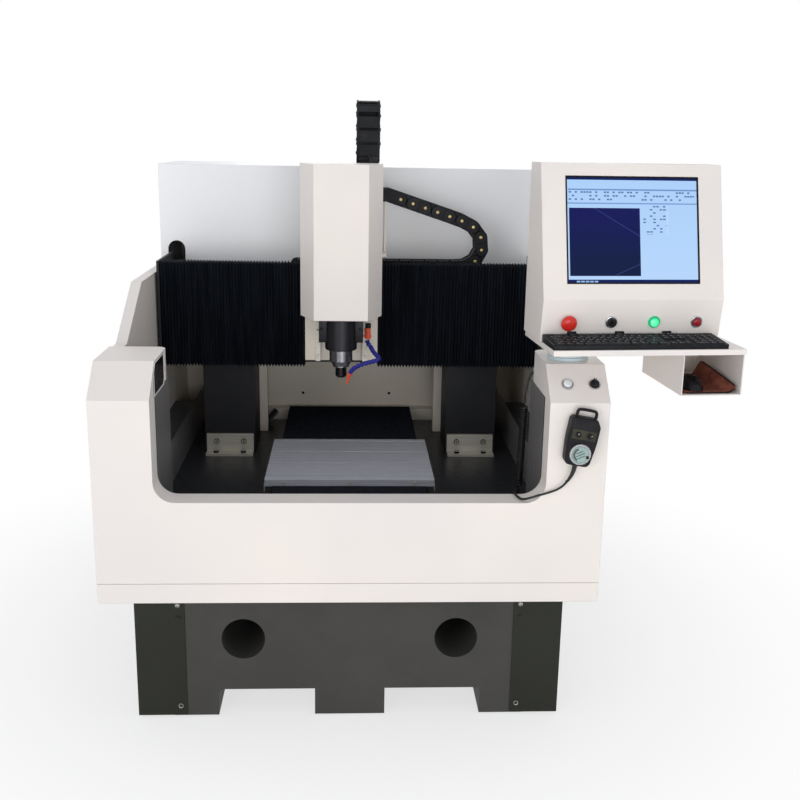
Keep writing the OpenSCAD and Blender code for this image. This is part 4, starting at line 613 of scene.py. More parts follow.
def all_finishes() -> Finishes:
    """Makes every finish once.

    Returns:
        The materials by name.
    """
    console = Console()
    face = console.screen_face()
    made = [
        Casting("cast_grey", srgb(64, 63, 61), srgb(76, 75, 73)),
        Casting("cast_black", srgb(30, 31, 35), srgb(44, 45, 50), roughness=0.42, skin=0.0002),
        # The second colour of each Paint is its dust tone, and also the painted shade of faces that
        # look up.
        Paint("ivory_paint", srgb(238, 230, 222), srgb(222, 217, 216)),
        Paint("grey_paint", srgb(246, 246, 247), srgb(238, 238, 241)),
        Paint("black_sheet", srgb(38, 39, 34), srgb(48, 50, 44), roughness=0.42, grime=0.4,
              gloss=0.15, coat=0.0),
        # The pan's paler second colour is painted light on its top faces, and its flank colour is
        # painted light on its sides.
        Paint("pan_paint", srgb(32, 34, 38), srgb(44, 46, 52), roughness=0.3, grime=0.6,
              gloss=0.3, coat=0.0, flank_lighting=srgb(108, 106, 107)),
        Paint("beige_paint", srgb(232, 223, 209), srgb(212, 204, 191), grime=0.6),
        Paint("plinth_paint", srgb(206, 224, 230), srgb(190, 208, 216)),
        Metal("ground_steel", srgb(214, 210, 198), srgb(176, 172, 162), 0.34, metallic=0.45),
        Metal("screw_steel", srgb(186, 186, 184), srgb(140, 140, 140), 0.24, Grain.ALONG_Y),
        Metal("table_aluminium", srgb(220, 223, 232), srgb(178, 181, 191), 0.36,
              marks=0.00012, metallic=0.35),
        Metal("anodised_black", srgb(30, 30, 34), srgb(46, 46, 52), 0.32, Grain.ROUND_Z,
              metallic=0.6),
        Metal("nose_chrome", srgb(150, 150, 155), srgb(96, 96, 102), 0.2, Grain.ROUND_Z, 0.00002),
        Metal("collet_steel", srgb(52, 50, 50), srgb(34, 33, 34), 0.3, Grain.ROUND_Z),
        Metal("bezel_steel", srgb(206, 206, 208), srgb(160, 160, 164), 0.18, Grain.ROUND_Z),
        Metal("dial_metal", srgb(200, 202, 204), srgb(150, 152, 156), 0.25),
        Metal("brass", srgb(214, 194, 136), srgb(170, 146, 92), 0.3, Grain.ALONG_Z, metallic=0.6),
        CoatedCloth("bellows", srgb(16, 19, 25), srgb(28, 33, 41)),
        Moulded("chain_plastic", srgb(26, 27, 30), srgb(44, 45, 50)),
        Moulded("motor_black", srgb(24, 24, 28), srgb(40, 40, 46), 0.4),
        Moulded("valve_orange", srgb(238, 96, 70), srgb(216, 80, 56), 0.35, coat=0.2),
        Moulded("hose_blue", srgb(40, 42, 140), srgb(30, 32, 112), 0.3, coat=0.2),
        Moulded("knob_black", srgb(26, 26, 28), srgb(44, 44, 48), 0.4, coat=0.1),
        Moulded("keyboard_plastic", srgb(20, 21, 24), srgb(36, 38, 44), 0.42),
        Moulded("mouse_plastic", srgb(16, 16, 19), srgb(28, 28, 34), 0.35, coat=0.1),
        Moulded("stop_red", srgb(214, 44, 36), srgb(180, 30, 26), 0.3, coat=0.4),
        Moulded("lamp_green", srgb(40, 200, 130), srgb(150, 255, 200), 0.2, coat=0.5, glow=0.8),
        Moulded("button_red", srgb(150, 28, 38), srgb(110, 18, 28), 0.3, coat=0.4),
        Moulded("button_white", srgb(226, 230, 230), srgb(200, 206, 208), 0.3, coat=0.4),
        Moulded("pendant_plastic", srgb(24, 24, 27), srgb(40, 40, 44), 0.45),
        Moulded("cable_rubber", srgb(13, 13, 15), srgb(26, 28, 32), 0.34, coat=0.15, gloss=0.3),
        # Near-black glass of the pillar's window: painted shade of the recess behind it.
        Moulded("painted_shade_glass", srgb(20, 22, 26), srgb(32, 36, 42), 0.12, coat=0.2),
        Moulded("seal_rubber", srgb(16, 16, 18), srgb(26, 26, 28), 0.6),
        Moulded("key_plastic", srgb(26, 28, 32), srgb(44, 48, 54), 0.4),
        Moulded("key_mark", srgb(176, 182, 188), srgb(150, 156, 162), 0.5),
        # Painted glow: the silver ring round the green lamp is given the lamp's green light.
        Moulded("painted_ring_glow", srgb(24, 170, 120), srgb(40, 200, 150), 0.25, coat=0.4, glow=0.25),
        Moulded("dial_face", srgb(150, 172, 166), srgb(182, 202, 196), 0.3, coat=0.3),
        Moulded("label_plate", srgb(50, 48, 36), srgb(70, 67, 50), 0.35, coat=0.2),
        # Dark grey of the ticks, and of the painted shade and painted reflections on the dial.
        Moulded("dial_ticks_shade_and_reflections", srgb(84, 94, 92), srgb(104, 114, 112), 0.4),
        Mat("pad_print", srgb(112, 52, 40), srgb(160, 96, 70)),
        Display("display", face @ Vector((0, 0, 0)), face.to_3x3() @ Vector((1, 0, 0)),
                face.to_3x3() @ Vector((0, 1, 0)), console.screen_w, console.screen_h),
    ]
    return {finish.name: finish.make() for finish in made}


DRESS: dict[str, tuple[str, ...]] = {
    "cast_grey": ("base_frame",),
    "cast_black": ("columns", "beam", "z_plate"),
    "ivory_paint": ("skirt", "front_shell", "side_wall_l", "side_wall_r", "head_cover",
                    "console_box", "console_tray"),
    "grey_paint": ("hood", "rear_panel"),
    "black_sheet": ("base_covers",),
    "pan_paint": ("pan",),
    "beige_paint": ("back_wall", "carriage"),
    "plinth_paint": ("console_plinth",),
    "ground_steel": ("column_brackets", "rails", "table_saddle", "table_trim", "z_rails"),
    "screw_steel": ("x_screw", "y_screw", "z_screw"),
    "bellows": ("x_bellows_l", "x_bellows_r", "y_bellows_front", "y_bellows_rear"),
    "chain_plastic": ("x_chain", "z_chain"),
    "motor_black": ("axis_motors", "z_motor"),
    "table_aluminium": ("table_plate",),
    "anodised_black": ("spindle_body", "spindle_clamp"),
    "nose_chrome": ("spindle_nose",),
    "collet_steel": ("collet_nut",),
    "valve_orange": ("coolant_valve",),
    "hose_blue": ("coolant_hose",),
    "knob_black": ("coolant_knob", "key_switch", "pillar_knob", "pendant_selector_l",
                   "pendant_selector_r"),
    "display": ("screen",),
    "bezel_steel": ("console_bezels", "pillar_bezels"),
    "keyboard_plastic": ("keyboard",),
    "mouse_plastic": ("mouse",),
    "stop_red": ("estop",),
    "lamp_green": ("green_button",),
    "button_red": ("red_button",),
    "button_white": ("pillar_button",),
    "pendant_plastic": ("pendant_body",),
    "dial_metal": ("pendant_dial",),
    "cable_rubber": ("cable_lower", "cable_curl", "cable_upper"),
}


def dress_frame(finishes: Finishes) -> None:
    """Gives every CAD node its finish.

    Args:
        finishes: The materials by name.
    """
    for finish, nodes in DRESS.items():
        for node in nodes:
            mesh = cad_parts[node].data
            mesh.materials.clear()
            mesh.materials.append(finishes[finish])
        log.info("dressed %s with %s", ", ".join(nodes), finish)


class Pick(Enum):
    """What a selection in edit mode holds."""

    FACE = "FACE"
    EDGE = "EDGE"
    VERT = "VERT"


class Piece:
    """A new mesh that is shaped with Blender's own operators."""

    finishes: ClassVar[Finishes] = {}

    def __init__(self, obj: bpy.types.Object) -> None:
        """Takes an object over, with its place moved into its mesh.

        Args:
            obj: The object.
        """
        self.obj = obj
        self.activate()
        bpy.ops.object.transform_apply(location=True, rotation=True, scale=True)

    @classmethod
    def box(cls, low: Sequence[float], high: Sequence[float]) -> "Piece":
        """Adds a box between two corners.

        Args:
            low: Lowest corner.
            high: Highest corner.

        Returns:
            The piece.
        """
        middle = [(a + b) / 2 for a, b in zip(low, high)]
        size = [b - a for a, b in zip(low, high)]
        bpy.ops.object.select_all(action="DESELECT")
        bpy.ops.mesh.primitive_cube_add(size=1, location=middle)
        bpy.context.object.scale = size
        return cls(bpy.context.object)

    @classmethod
    def drum(cls, radius: float, height: float, sides: int = 32,
             middle: Sequence[float] = (0, 0, 0)) -> "Piece":
        """Adds an upright drum.

        Args:
            radius: Its radius.
            height: Its height.
            sides: Its number of sides.
            middle: Its middle.

        Returns:
            The piece.
        """
        bpy.ops.object.select_all(action="DESELECT")
        bpy.ops.mesh.primitive_cylinder_add(vertices=sides, radius=radius, depth=height,
                                            location=middle)
        return cls(bpy.context.object)

    @classmethod
    def chain(cls, points: Sequence[Sequence[float]]) -> "Piece":
        """Lays a chain of edges through points.

        Args:
            points: The points, in order.

        Returns:
            The piece, which has edges alone.
        """
        bpy.ops.object.select_all(action="DESELECT")
        bpy.ops.mesh.primitive_plane_add(size=0.001)
        piece = cls(bpy.context.object)
        with piece.editing():
            bpy.ops.mesh.select_mode(type="VERT")
            bpy.ops.mesh.select_all(action="SELECT")
            bpy.ops.mesh.merge(type="CENTER")
            bpy.ops.transform.translate(value=tuple(points[0]))
            for before, after in zip(points, points[1:]):
                step = tuple(b - a for a, b in zip(before, after))
                bpy.ops.mesh.extrude_vertices_move(TRANSFORM_OT_translate={"value": step})
        return piece

    @classmethod
    def lathe(cls, outline: Outline, steps: int = 40) -> "Piece":
        """Spins an outline of (radius, height) points about the z axis.

        Args:
            outline: The points, from the axis out and round.
            steps: Steps of the spin.

        Returns:
            The piece.
        """
        piece = cls.chain([(radius, 0, height) for radius, height in outline])
        with piece.editing():
            bpy.ops.mesh.select_all(action="SELECT")
            bpy.ops.mesh.spin(steps=steps, angle=2 * math.pi, center=(0, 0, 0), axis=(0, 0, 1))
            bpy.ops.mesh.select_all(action="SELECT")
            bpy.ops.mesh.remove_doubles(threshold=WELD)
            bpy.ops.mesh.normals_make_consistent(inside=False)
        return piece

    @classmethod
    def tower(cls, outline: Outline, stations: Outline) -> "Piece":
        """Raises a flat outline through stations, each with a height and a share of its width.

        Args:
            outline: Its (x, y) points, in order round.
            stations: (height, share) pairs, from the foot up.

        Returns:
            The piece.
        """
        foot, share = stations[0]
        piece = cls.chain([(x * share, y * share, foot) for x, y in outline])
        with piece.editing():
            bpy.ops.mesh.select_mode(type="VERT")
            bpy.ops.mesh.select_all(action="SELECT")
            bpy.ops.mesh.edge_face_add()
            bpy.ops.mesh.select_mode(type="FACE")
            bpy.ops.mesh.select_all(action="SELECT")
            for (low, narrow), (high, wide) in zip(stations, stations[1:]):
                rise = (0, 0, high - low)
                bpy.ops.mesh.extrude_region_move(TRANSFORM_OT_translate={"value": rise})
                scale = wide / narrow
                bpy.ops.transform.resize(value=(scale, scale, 1), center_override=(0, 0, high))
            bpy.ops.mesh.select_all(action="SELECT")
            bpy.ops.mesh.normals_make_consistent(inside=False)
        return piece

    @classmethod
    def rod(cls, points: Sequence[Vector], radii: Union[float, Sequence[float]],
            closed: bool = False, steps: int = 6, sides: int = 3) -> "Piece":
        """Draws a round rod along a smooth line.

        Args:
            points: The points that the line runs through.
            radii: Its radius, or one radius for each point.
            closed: Whether the line returns to its start.
            steps: Steps between two points.
            sides: Fineness of its girth.

        Returns:
            The piece.
        """
        obj = smooth_line("rod", points, radii, closed, steps, sides)
        bpy.ops.object.select_all(action="DESELECT")
        obj.select_set(True)
        bpy.context.view_layer.objects.active = obj
        bpy.ops.object.convert(target="MESH")
        return cls(bpy.context.object)

    def activate(self) -> None:
        """Makes this the one selected object."""
        bpy.ops.object.select_all(action="DESELECT")
        self.obj.select_set(True)
        bpy.context.view_layer.objects.active = self.obj

    def editing(self) -> "Editing":
        """Returns a guard that keeps the piece in edit mode."""
        return Editing(self)

    def pick(self, kind: Pick, test: Callable[[Vector, Vector], bool]) -> None:
        """Selects parts of the mesh in edit mode.

        Args:
            kind: Faces, edges or vertices.
            test: Tells from a part's middle and its normal whether it is selected.
        """
        bpy.ops.mesh.select_mode(type=kind.value)
        bpy.ops.mesh.select_all(action="DESELECT")
        mesh = bmesh.from_edit_mesh(self.obj.data)
        if kind is Pick.FACE:
            for face in mesh.faces:
                face.select_set(test(face.calc_center_median(), face.normal))
        elif kind is Pick.EDGE:
            for edge in mesh.edges:
                a, b = edge.verts
                edge.select_set(test((a.co + b.co) / 2, (b.co - a.co).normalized()))
        else:
            for vert in mesh.verts:
                vert.select_set(test(vert.co, vert.normal))
        bmesh.update_edit_mesh(self.obj.data)

    def bevel(self, width: float, segments: int = 2, angle: float = 30.0) -> "Piece":
        """Rounds all edges sharper than an angle.

        Args:
            width: Width of the rounding.
            segments: Its steps.
            angle: Smallest angle that is rounded, in degrees.

        Returns:
            This piece.
        """
        return self.modifier("BEVEL", width=width, segments=segments, limit_method="ANGLE",
                             angle_limit=math.radians(angle), harden_normals=False)

    def modifier(self, kind: str, **settings: object) -> "Piece":
        """Adds a modifier and applies it.

        Args:
            kind: Its type.
            **settings: Its settings.

        Returns:
            This piece.
        """
        self.activate()
        modifier = self.obj.modifiers.new(kind.lower(), kind)
        for key, value in settings.items():
            setattr(modifier, key, value)
        bpy.ops.object.modifier_apply(modifier=modifier.name)
        return self

    def moved(self, matrix: Matrix) -> "Piece":
        """Moves the mesh itself and returns this piece."""
        self.obj.data.transform(matrix)
        return self

    def copied(self, matrix: Matrix) -> "Piece":
        """Copies the piece.

        Args:
            matrix: Where the copy is moved to.

        Returns:
            The copy, with a mesh of its own.
        """
        twin = self.obj.copy()
        twin.data = self.obj.data.copy()
        bpy.context.scene.collection.objects.link(twin)
        twin.data.transform(matrix)
        return Piece(twin)

    def drop(self) -> None:
        """Deletes a model whose copies are laid, or a tool that has cut."""
        bpy.data.objects.remove(self.obj)

    def joined(self, others: Iterable["Piece"]) -> "Piece":
        """Takes other pieces into this one.

        Args:
            others: The pieces, which are gone afterwards.

        Returns:
            This piece.
        """
        bpy.ops.object.select_all(action="DESELECT")
        for other in others:
            other.obj.select_set(True)
        self.obj.select_set(True)
        bpy.context.view_layer.objects.active = self.obj
        bpy.ops.object.join()
        return self

    def painted(self, material: bpy.types.Material) -> "Piece":
        """Gives the whole piece one material.

        Args:
            material: The material.

        Returns:
            This piece.
        """
        self.obj.data.materials.clear()
        self.obj.data.materials.append(material)
        return self

    def done(self, name: str, body: Optional[str], slot: str, smooth: float = 30.0,
             replaces: Sequence[str] = (), finish: Optional[str] = None) -> bpy.types.Object:
        """Names the piece, paints and smooths it and fastens it to its body.

        Args:
            name: The piece's name.
            body: The CAD body that it rides on, or None where it stays unattached.
            slot: Name of a material slot of the record, and of the finish that paints it unless
                finish names another.
            smooth: Edges sharper than this many degrees stay sharp.
            replaces: CAD nodes that it stands for.
            finish: Name of its finish, where that isn't the slot's.

        Returns:
            The object.
        """
        self.painted(self.finishes[finish or slot])
        self.activate()
        bpy.ops.object.shade_smooth_by_angle(angle=math.radians(smooth))
        self.obj.name = name
        self.obj.data.name = name
        if replaces:
            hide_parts(*replaces)
        if body:
            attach(self.obj, body)
        log.info("built %s with %d faces", name, len(self.obj.data.polygons))
        return self.obj


class Editing:
    """Keeps one piece in edit mode while its block runs."""

    def __init__(self, piece: Piece) -> None:
        """Keeps the piece."""
        self.piece = piece

    def __enter__(self) -> Piece:
        """Enters edit mode.

        Returns:
            The piece.
        """
        self.piece.activate()
        bpy.ops.object.mode_set(mode="EDIT")
        return self.piece

    def __exit__(self, *error: object) -> None:
        """Leaves edit mode."""
        bpy.ops.object.mode_set(mode="OBJECT")


def turn(degrees: float, axis: str) -> Matrix:
    """Returns a rotation about an axis through the origin."""
    return Matrix.Rotation(math.radians(degrees), 4, axis)


def shift(x: float, y: float, z: float) -> Matrix:
    """Returns a move in metres."""
    return Matrix.Translation((x, y, z))


def smooth_line(name: str, points: Sequence[Vector], radii: Union[float, Sequence[float]],
                closed: bool = False, steps: int = 6, sides: int = 3) -> bpy.types.Object:
    """Draws a round line of one spline through points.

    Args:
        name: The object's name.
        points: The points that it runs through.
        radii: Its radius, or one radius for each point.
        closed: Whether it returns to its start.
        steps: Steps between two points.
        sides: Fineness of its girth.

    Returns:
        The curve object.
    """
    even = isinstance(radii, float)
    curve = bpy.data.curves.new(name, "CURVE")
    curve.dimensions = "3D"
    curve.bevel_depth = radii if even else 1.0
    curve.bevel_resolution = sides
    curve.resolution_u = steps
    curve.use_fill_caps = not closed
    spline = curve.splines.new("BEZIER")
    spline.bezier_points.add(len(points) - 1)
    for index, (knot, point) in enumerate(zip(spline.bezier_points, points)):
        knot.co = point
        knot.handle_left_type = knot.handle_right_type = "AUTO"
        knot.radius = 1.0 if even else radii[index]
    spline.use_cyclic_u = closed
    obj = bpy.data.objects.new(name, curve)
    bpy.context.scene.collection.objects.link(obj)
    return obj


def from_plan(points: Sequence[Sequence[float]]) -> list[Vector]:
    """Turns millimetres of the CAD source, whose y starts at the front, into the frame's metres.

    Args:
        points: The points.

    Returns:
        The same points in the frame.
    """
    return [Vector((x, y - FRONT_TO_MIDDLE, z)) / 1000 for x, y, z in points]


def arc(radius: float, first: float, last: float, steps: int,
        middle: tuple[float, float] = (0.0, 0.0)) -> list[tuple[float, float]]:
    """Returns points along an arc.

    Args:
        radius: Its radius.
        first: Angle of its start, in degrees.
        last: Angle of its end.
        steps: Its steps.
        middle: Its middle.

    Returns:
        Their (x, y) places, both ends among them.
    """
    angles = [math.radians(first + (last - first) * step / steps) for step in range(steps + 1)]
    return [(middle[0] + radius * math.cos(a), middle[1] + radius * math.sin(a)) for a in angles]


def fan(count: int, radius: float, start: float = 0.0) -> list[tuple[float, float]]:
    """Returns the corners of a regular outline whose first is at an angle of start degrees."""
    return arc(radius, start, start + 360, count)[:-1]


def rectangle(width: float, height: float) -> list[tuple[float, float]]:
    """Returns the corners of a rectangle about the origin."""
    x, y = width / 2, height / 2
    return [(-x, -y), (x, -y), (x, y), (-x, y)]


def soft_rectangle(width: float, height: float, radius: float,
                   steps: int) -> list[tuple[float, float]]:
    """Returns the outline of a rectangle about the origin with round corners.

    Args:
        width: Its size along x.
        height: Its size along y.
        radius: Radius of its corners.
        steps: Steps of a corner.

    Returns:
        The outline, from the right end of its upper right corner round to the left.
    """
    x, y = width / 2 - radius, height / 2 - radius
    outline = []
    for index, middle in enumerate(((x, y), (-x, y), (-x, -y), (x, -y))):
        outline += arc(radius, 90 * index, 90 * index + 90, steps, middle)
    return outline


def filleted(corners: Outline, radii: Sequence[float],
             steps: int = 5) -> list[tuple[float, float]]:
    """Rounds the corners of an outline.

    Args:
        corners: Its corners, in order round.
        radii: How far from each corner its rounding starts.
        steps: Steps of a rounding.

    Returns:
        The rounded outline.
    """
    rounded = []
    for index, radius in enumerate(radii):
        before, corner, after = (Vector(corners[(index + k) % len(corners)]) for k in (-1, 0, 1))
        start = corner + (before - corner).normalized() * radius
        end = corner + (after - corner).normalized() * radius
        for step in range(steps + 1):
            t = step / steps
            rounded.append(tuple(start * (1 - t) ** 2 + corner * 2 * t * (1 - t) + end * t * t))
    return rounded


def bolt(radius: float) -> Piece:
    """Models a socket bolt's head that stands on z = 0.

    Args:
        radius: Radius of its head.

    Returns:
        The head.
    """
    shares = ((0, 0), (1, 0), (1, 0.5), (0.86, 0.68), (0, 0.68))
    head = Piece.lathe([(out * radius, up * radius) for out, up in shares], 20)
    with head.editing():
        head.pick(Pick.FACE, lambda c, n: n.z > 0.9 and c.length > 0)
        bpy.ops.mesh.dissolve_faces()
        bpy.ops.mesh.inset(thickness=radius * 0.36, depth=-radius * 0.4)
    return head


def bolts(radius: float, spots: Sequence[Matrix]) -> Piece:
    """Sets equal bolts.

    Args:
        radius: Radius of a head.
        spots: Where the heads sit, looking along z.

    Returns:
        Their heads as one piece.
    """
    model = bolt(radius)
    heads = [model.copied(spot) for spot in spots]
    model.drop()
    return heads[0].joined(heads[1:])


@dataclass
class Cord:
    """Curly cord of the hand pendant: down from its relief, over the sill, and up to the gland.

    Metres, but its route and its relief are in millimetres of the CAD source.
    """

    diameter: float = 0.006
    length: float = 2.42
    down: Sequence[Sequence[float]] = (
        (552.63, -21, 748.17), (548, -20.6, 735), (541, -19, 722), (523, -14, 700),
        (496, -10, 686), (468, -8, 677), (447, -2, 668), (433, 14, 660), (424, 42, 659),
        (420, 75, 657), (420, 92, 630), (426, 110, 585), (434, 135, 545), (444, 170, 525),
        (455, 215, 520), (464, 260, 532), (469, 284, 562))
    curl_foot: Sequence[float] = (470, 290, 590)
    curl_head: Sequence[float] = (477, 290, 848)
    up: Sequence[Sequence[float]] = (
        (479, 291, 872), (485, 295, 902), (495, 296, 926), (502, 286, 936), (502, 274, 936))
    curl_radius: float = 8.0
    turns: int = 35
    per_turn: int = 12
    easing_rise: float = 20.0
    relief_from: Triple = (555.6, -21, 765.0)
    relief_r: tuple[float, float] = (6.8, 3.8)
    relief_ribs: int = 11
    rib: float = 0.5

    def route(self) -> list[Vector]:
        """Lays the whole route.

        Returns:
            Its points, in the frame.
        """
        foot, head = Vector(self.curl_foot), Vector(self.curl_head)
        height = head.z - foot.z
        plain = (height - 2 * self.easing_rise) / (self.turns - 2)
        curl = []
        count = self.turns * self.per_turn
        for index in range(count + 1):
            turn_at = index / self.per_turn
            first, last = min(1.0, turn_at), max(0.0, turn_at - self.turns + 1)
            rise = (first + last) * self.easing_rise + (turn_at - first - last) * plain
            share = min(first, 1 - last)
            radius = self.curl_radius * share * share * (3 - 2 * share)
            angle = 2 * math.pi * turn_at
            round_it = Vector((math.cos(angle), math.sin(angle), 0)) * radius
            curl.append(foot.lerp(head, rise / height) + round_it)
        return from_plan([*self.down, *curl, *self.up])

    def build(self) -> None:
        """Draws the cord and its tapered relief."""
        route = self.route()
        cord = smooth_line("pendant_cord", route, self.diameter / 2, steps=3, sides=2)
        cord.data.materials.append(Piece.finishes["cable_rubber"])
        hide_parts("cable_lower", "cable_curl", "cable_upper")
        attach(cord, "machine")
        relief = self.relief()
        log.info("drew pendant_cord, %.3f m long", cord.data.splines[0].calc_length())

    def relief(self) -> bpy.types.Object:
        """Models the ribbed relief that the cord leaves the pendant through.

        Returns:
            The relief.
        """
        line = [Vector(point) for point in (self.relief_from, *self.down[:4])]
        thick, thin = self.relief_r
        points, radii = [], []
        for index in range(2 * self.relief_ribs + 1):
            share = index / (2 * self.relief_ribs)
            place = share * (len(line) - 1.7)
            step = min(int(place), len(line) - 2)
            points.append(line[step].lerp(line[step + 1], place - step))
            radii.append((thick + (thin - thick) * share - self.rib * (index % 2)) / 1000)
        piece = Piece.rod(from_plan(points), radii, steps=2, sides=4)
        return piece.done("pendant_cord_relief", "machine", "cable_rubber", 50.0)


@dataclass
class FoldingCover:
    """Pleated cover of a slide: a channel open on one side, drawn along its run."""

    name: str
    node: str
    width: float
    depth: float
    run: float
    folds: int
    placing: Matrix
    start: Triple
    end: Triple
    bodies: tuple[str, str]
    fold_d: float = 0.0075
    crease: float = 0.22
    cloth: float = 0.0012

    def build(self) -> None:
        """Models one pleat and repeats it along the run."""
        half = self.run / self.folds / 2
        piece = Piece.box((0, -self.width / 2, 0), (half, self.width / 2, self.depth))
        with piece.editing():
            piece.pick(Pick.FACE, lambda c, n: abs(n.x) > 0.9 or n.z < -0.9)
            bpy.ops.mesh.delete(type="FACE")
            piece.pick(Pick.VERT, lambda c, n: c.x > half / 2)
            inner = (self.width - 2 * self.fold_d) / self.width
            lower = (self.depth - self.fold_d) / self.depth
            bpy.ops.transform.resize(value=(1, inner, lower), center_override=(half, 0, 0))
            bpy.ops.mesh.select_mode(type="EDGE")
            bpy.ops.mesh.select_all(action="SELECT")
            bpy.ops.mesh.bevel(offset=half * self.crease, segments=1, affect="EDGES")
            bpy.ops.mesh.select_all(action="SELECT")
            bpy.ops.mesh.normals_make_consistent(inside=False)
        piece.modifier("MIRROR", use_axis=(True, False, False), merge_threshold=WELD / 2)
        piece.moved(shift(half, 0, 0))
        piece.modifier("ARRAY", count=self.folds, use_relative_offset=False,
                       use_constant_offset=True, constant_offset_displace=(2 * half, 0, 0),
                       use_merge_vertices=True, merge_threshold=WELD)
        piece.modifier("SOLIDIFY", thickness=self.cloth, offset=-1)
        piece.moved(self.placing)
        obj = piece.done(self.name, None, "bellows", 25.0, [self.node])
        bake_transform(obj)


def folding_covers() -> list[FoldingCover]:
    """Sizes the covers of the gantry and of the table.

    Returns:
        The four covers.
    """
    x_rear, x_mid, x_depth, x_height = 0.090, 0.9955, 0.060, 0.331
    left, right, edge = -0.146, 0.083, 0.595
    low, table = 0.5103, -0.003
    y_width, y_depth = 0.448, 0.0527
    covers = []
    for side, x0, x1, moving, still, folds in (("l", -edge, left, left, -edge, 46),
                                               ("r", right, edge, right, edge, 52)):
        covers.append(FoldingCover(
            f"folding_cover_x_{side}", f"x_bellows_{side}", x_height, x_depth, x1 - x0, folds,
            shift(x0, x_rear, x_mid) @ turn(90, "X"), (still, 0, x_mid), (moving, 0, x_mid),
            ("machine", "cross_carriage")))
    for side, y0, y1, moving, still, folds in (("front", -0.678, -0.348, -0.348, -0.678, 28),
                                               ("rear", 0.070, 0.570, 0.070, 0.570, 42)):
        covers.append(FoldingCover(
            f"folding_cover_y_{side}", f"y_bellows_{side}", y_width, y_depth, y1 - y0, folds,
            shift(table, y0, low) @ turn(90, "Z"), (table, still, low), (table, moving, low),
            ("machine", "table")))
    return covers


@dataclass
class CableChain:
    """Chain of links laid along a run of straight and bent stretches in one plane."""

    name: str
    node: str
    links: int
    start: Triple
    run: Outline
    width: float
    height: float
    plane: Matrix
    bodies: tuple[str, str]
    blend_from: Triple
    blend_to: Triple
    pitch: float = 0.042
    plate: float = 0.005
    groove: float = 0.0008
    rim: float = 0.0022
    lid_rim: float = 0.004
    lid_half: float = 0.0018
    pin: Outline = ((0, 0.0024), (0.0030, 0.0024), (0.0046, 0.0018), (0.0054, 0.0006),
                    (0.0054, -0.001), (0, -0.001))
    pin_in: float = 0.0004
    plate_in: tuple[float, float] = (0.0003, 0.0011)
    pin_finish: str = "brass"
    end_box: Optional[Sequence[Triple]] = None

    def pose(self, distance: float) -> Triple:
        """Returns (u, v, heading in degrees) at a distance along the run.

        Args:
            distance: How far along, in metres.

        Returns:
            The place and the heading there.
        """
        u, v, heading = self.start
        left = distance
        for index, (length, bend) in enumerate(self.run):
            last = index == len(self.run) - 1
            part = left if last else min(left, length)
            angle = bend * part / length
            if bend == 0:
                u += part * math.cos(math.radians(heading))
                v += part * math.sin(math.radians(heading))
            else:
                radius = length / math.radians(bend)
                before, after = math.radians(heading), math.radians(heading + angle)
                u += radius * (math.sin(after) - math.sin(before))
                v -= radius * (math.cos(after) - math.cos(before))
            heading += angle
            left -= part
            if left <= 1e-9:
                break
        return u, v, heading

    def link(self, outward: float) -> Piece:
        """Models one closed link: two round-ended side plates and the lids between them.

        Args:
            outward: How far its plates stand outside those of its neighbours.

        Returns:
            The link.
        """
        parts = []
        h, w, t = self.height, self.width, self.plate
        for side in (-1, 1):
            y = side * ((w - t) / 2 + outward)
            plate = Piece.box((-h / 2, y - t / 2, -h / 2), (self.pitch + h / 2, y + t / 2, h / 2))
            with plate.editing():
                plate.pick(Pick.EDGE, lambda c, d: abs(d.y) > 0.9)
                bpy.ops.mesh.bevel(offset=h * 0.49, segments=6, affect="EDGES")
                plate.pick(Pick.FACE, lambda c, n: n.y * side > 0.9)
                self.sink(self.rim, (0, -side * self.groove, 0))
            parts.append(plate)
        for side in (-1, 1):
            z = side * (h * 0.46 - 0.002)
            lid = Piece.box((self.pitch * 0.10, -w / 2 + t, z - self.lid_half),
                            (self.pitch * 0.90, w / 2 - t, z + self.lid_half))
            with lid.editing():
                lid.pick(Pick.FACE, lambda c, n: n.z * side > 0.9)
                self.sink(self.lid_rim, (0, 0, -side * self.groove))
            parts.append(lid)
        return parts[0].joined(parts[1:])

    @staticmethod
    def sink(rim: float, move: Triple) -> None:
        """Sinks the picked face inside a rim that stays."""
        bpy.ops.mesh.inset(thickness=rim, depth=0)
        bpy.ops.mesh.extrude_region_move(TRANSFORM_OT_translate={"value": move})

    def pins(self) -> Piece:
        """Models the pin heads of one link.

        Returns:
            Both heads as one piece.
        """
        heads = []
        out = self.width / 2 - self.pin_in
        for side in (-1, 1):
            head = Piece.lathe(self.pin, 14)
            heads.append(head.moved(shift(0, side * out, 0) @ turn(-side * 90, "X")))
        return heads[0].joined(heads[1:])

    def build(self) -> None:
        """Lays the links along the run, and the end link where one is given."""
        links = [self.link(-inward) for inward in self.plate_in]
        kinds = (("links", links, "chain_plastic", [self.node]),
                 ("pins", [self.pins()], self.pin_finish, []))
        for label, models, finish, replaced in kinds:
            copies = []
            for index in range(self.links):
                u, v, _ = self.pose(self.pitch * index)
                u2, v2, _ = self.pose(self.pitch * (index + 1))
                tilt = math.degrees(math.atan2(v2 - v, u2 - u))
                spot = self.plane @ shift(u, 0, v) @ turn(-tilt, "Y")
                copies.append(models[index % len(models)].copied(spot))
            for model in models:
                model.drop()
            whole = copies[0].joined(copies[1:])
            obj = whole.done(f"{self.name}_{label}", None, "chain_plastic", 35.0, replaced, finish)
            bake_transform(obj)
        if self.end_box:
            end = Piece.box(*self.end_box)
            with end.editing():
                end.pick(Pick.FACE, lambda c, n: abs(n.y) > 0.9)
                bpy.ops.mesh.inset(thickness=self.lid_rim, depth=-self.groove, use_individual=True)
            end.bevel(0.0012, 2).done(f"{self.name}_end", self.bodies[1], "chain_plastic", 35.0)


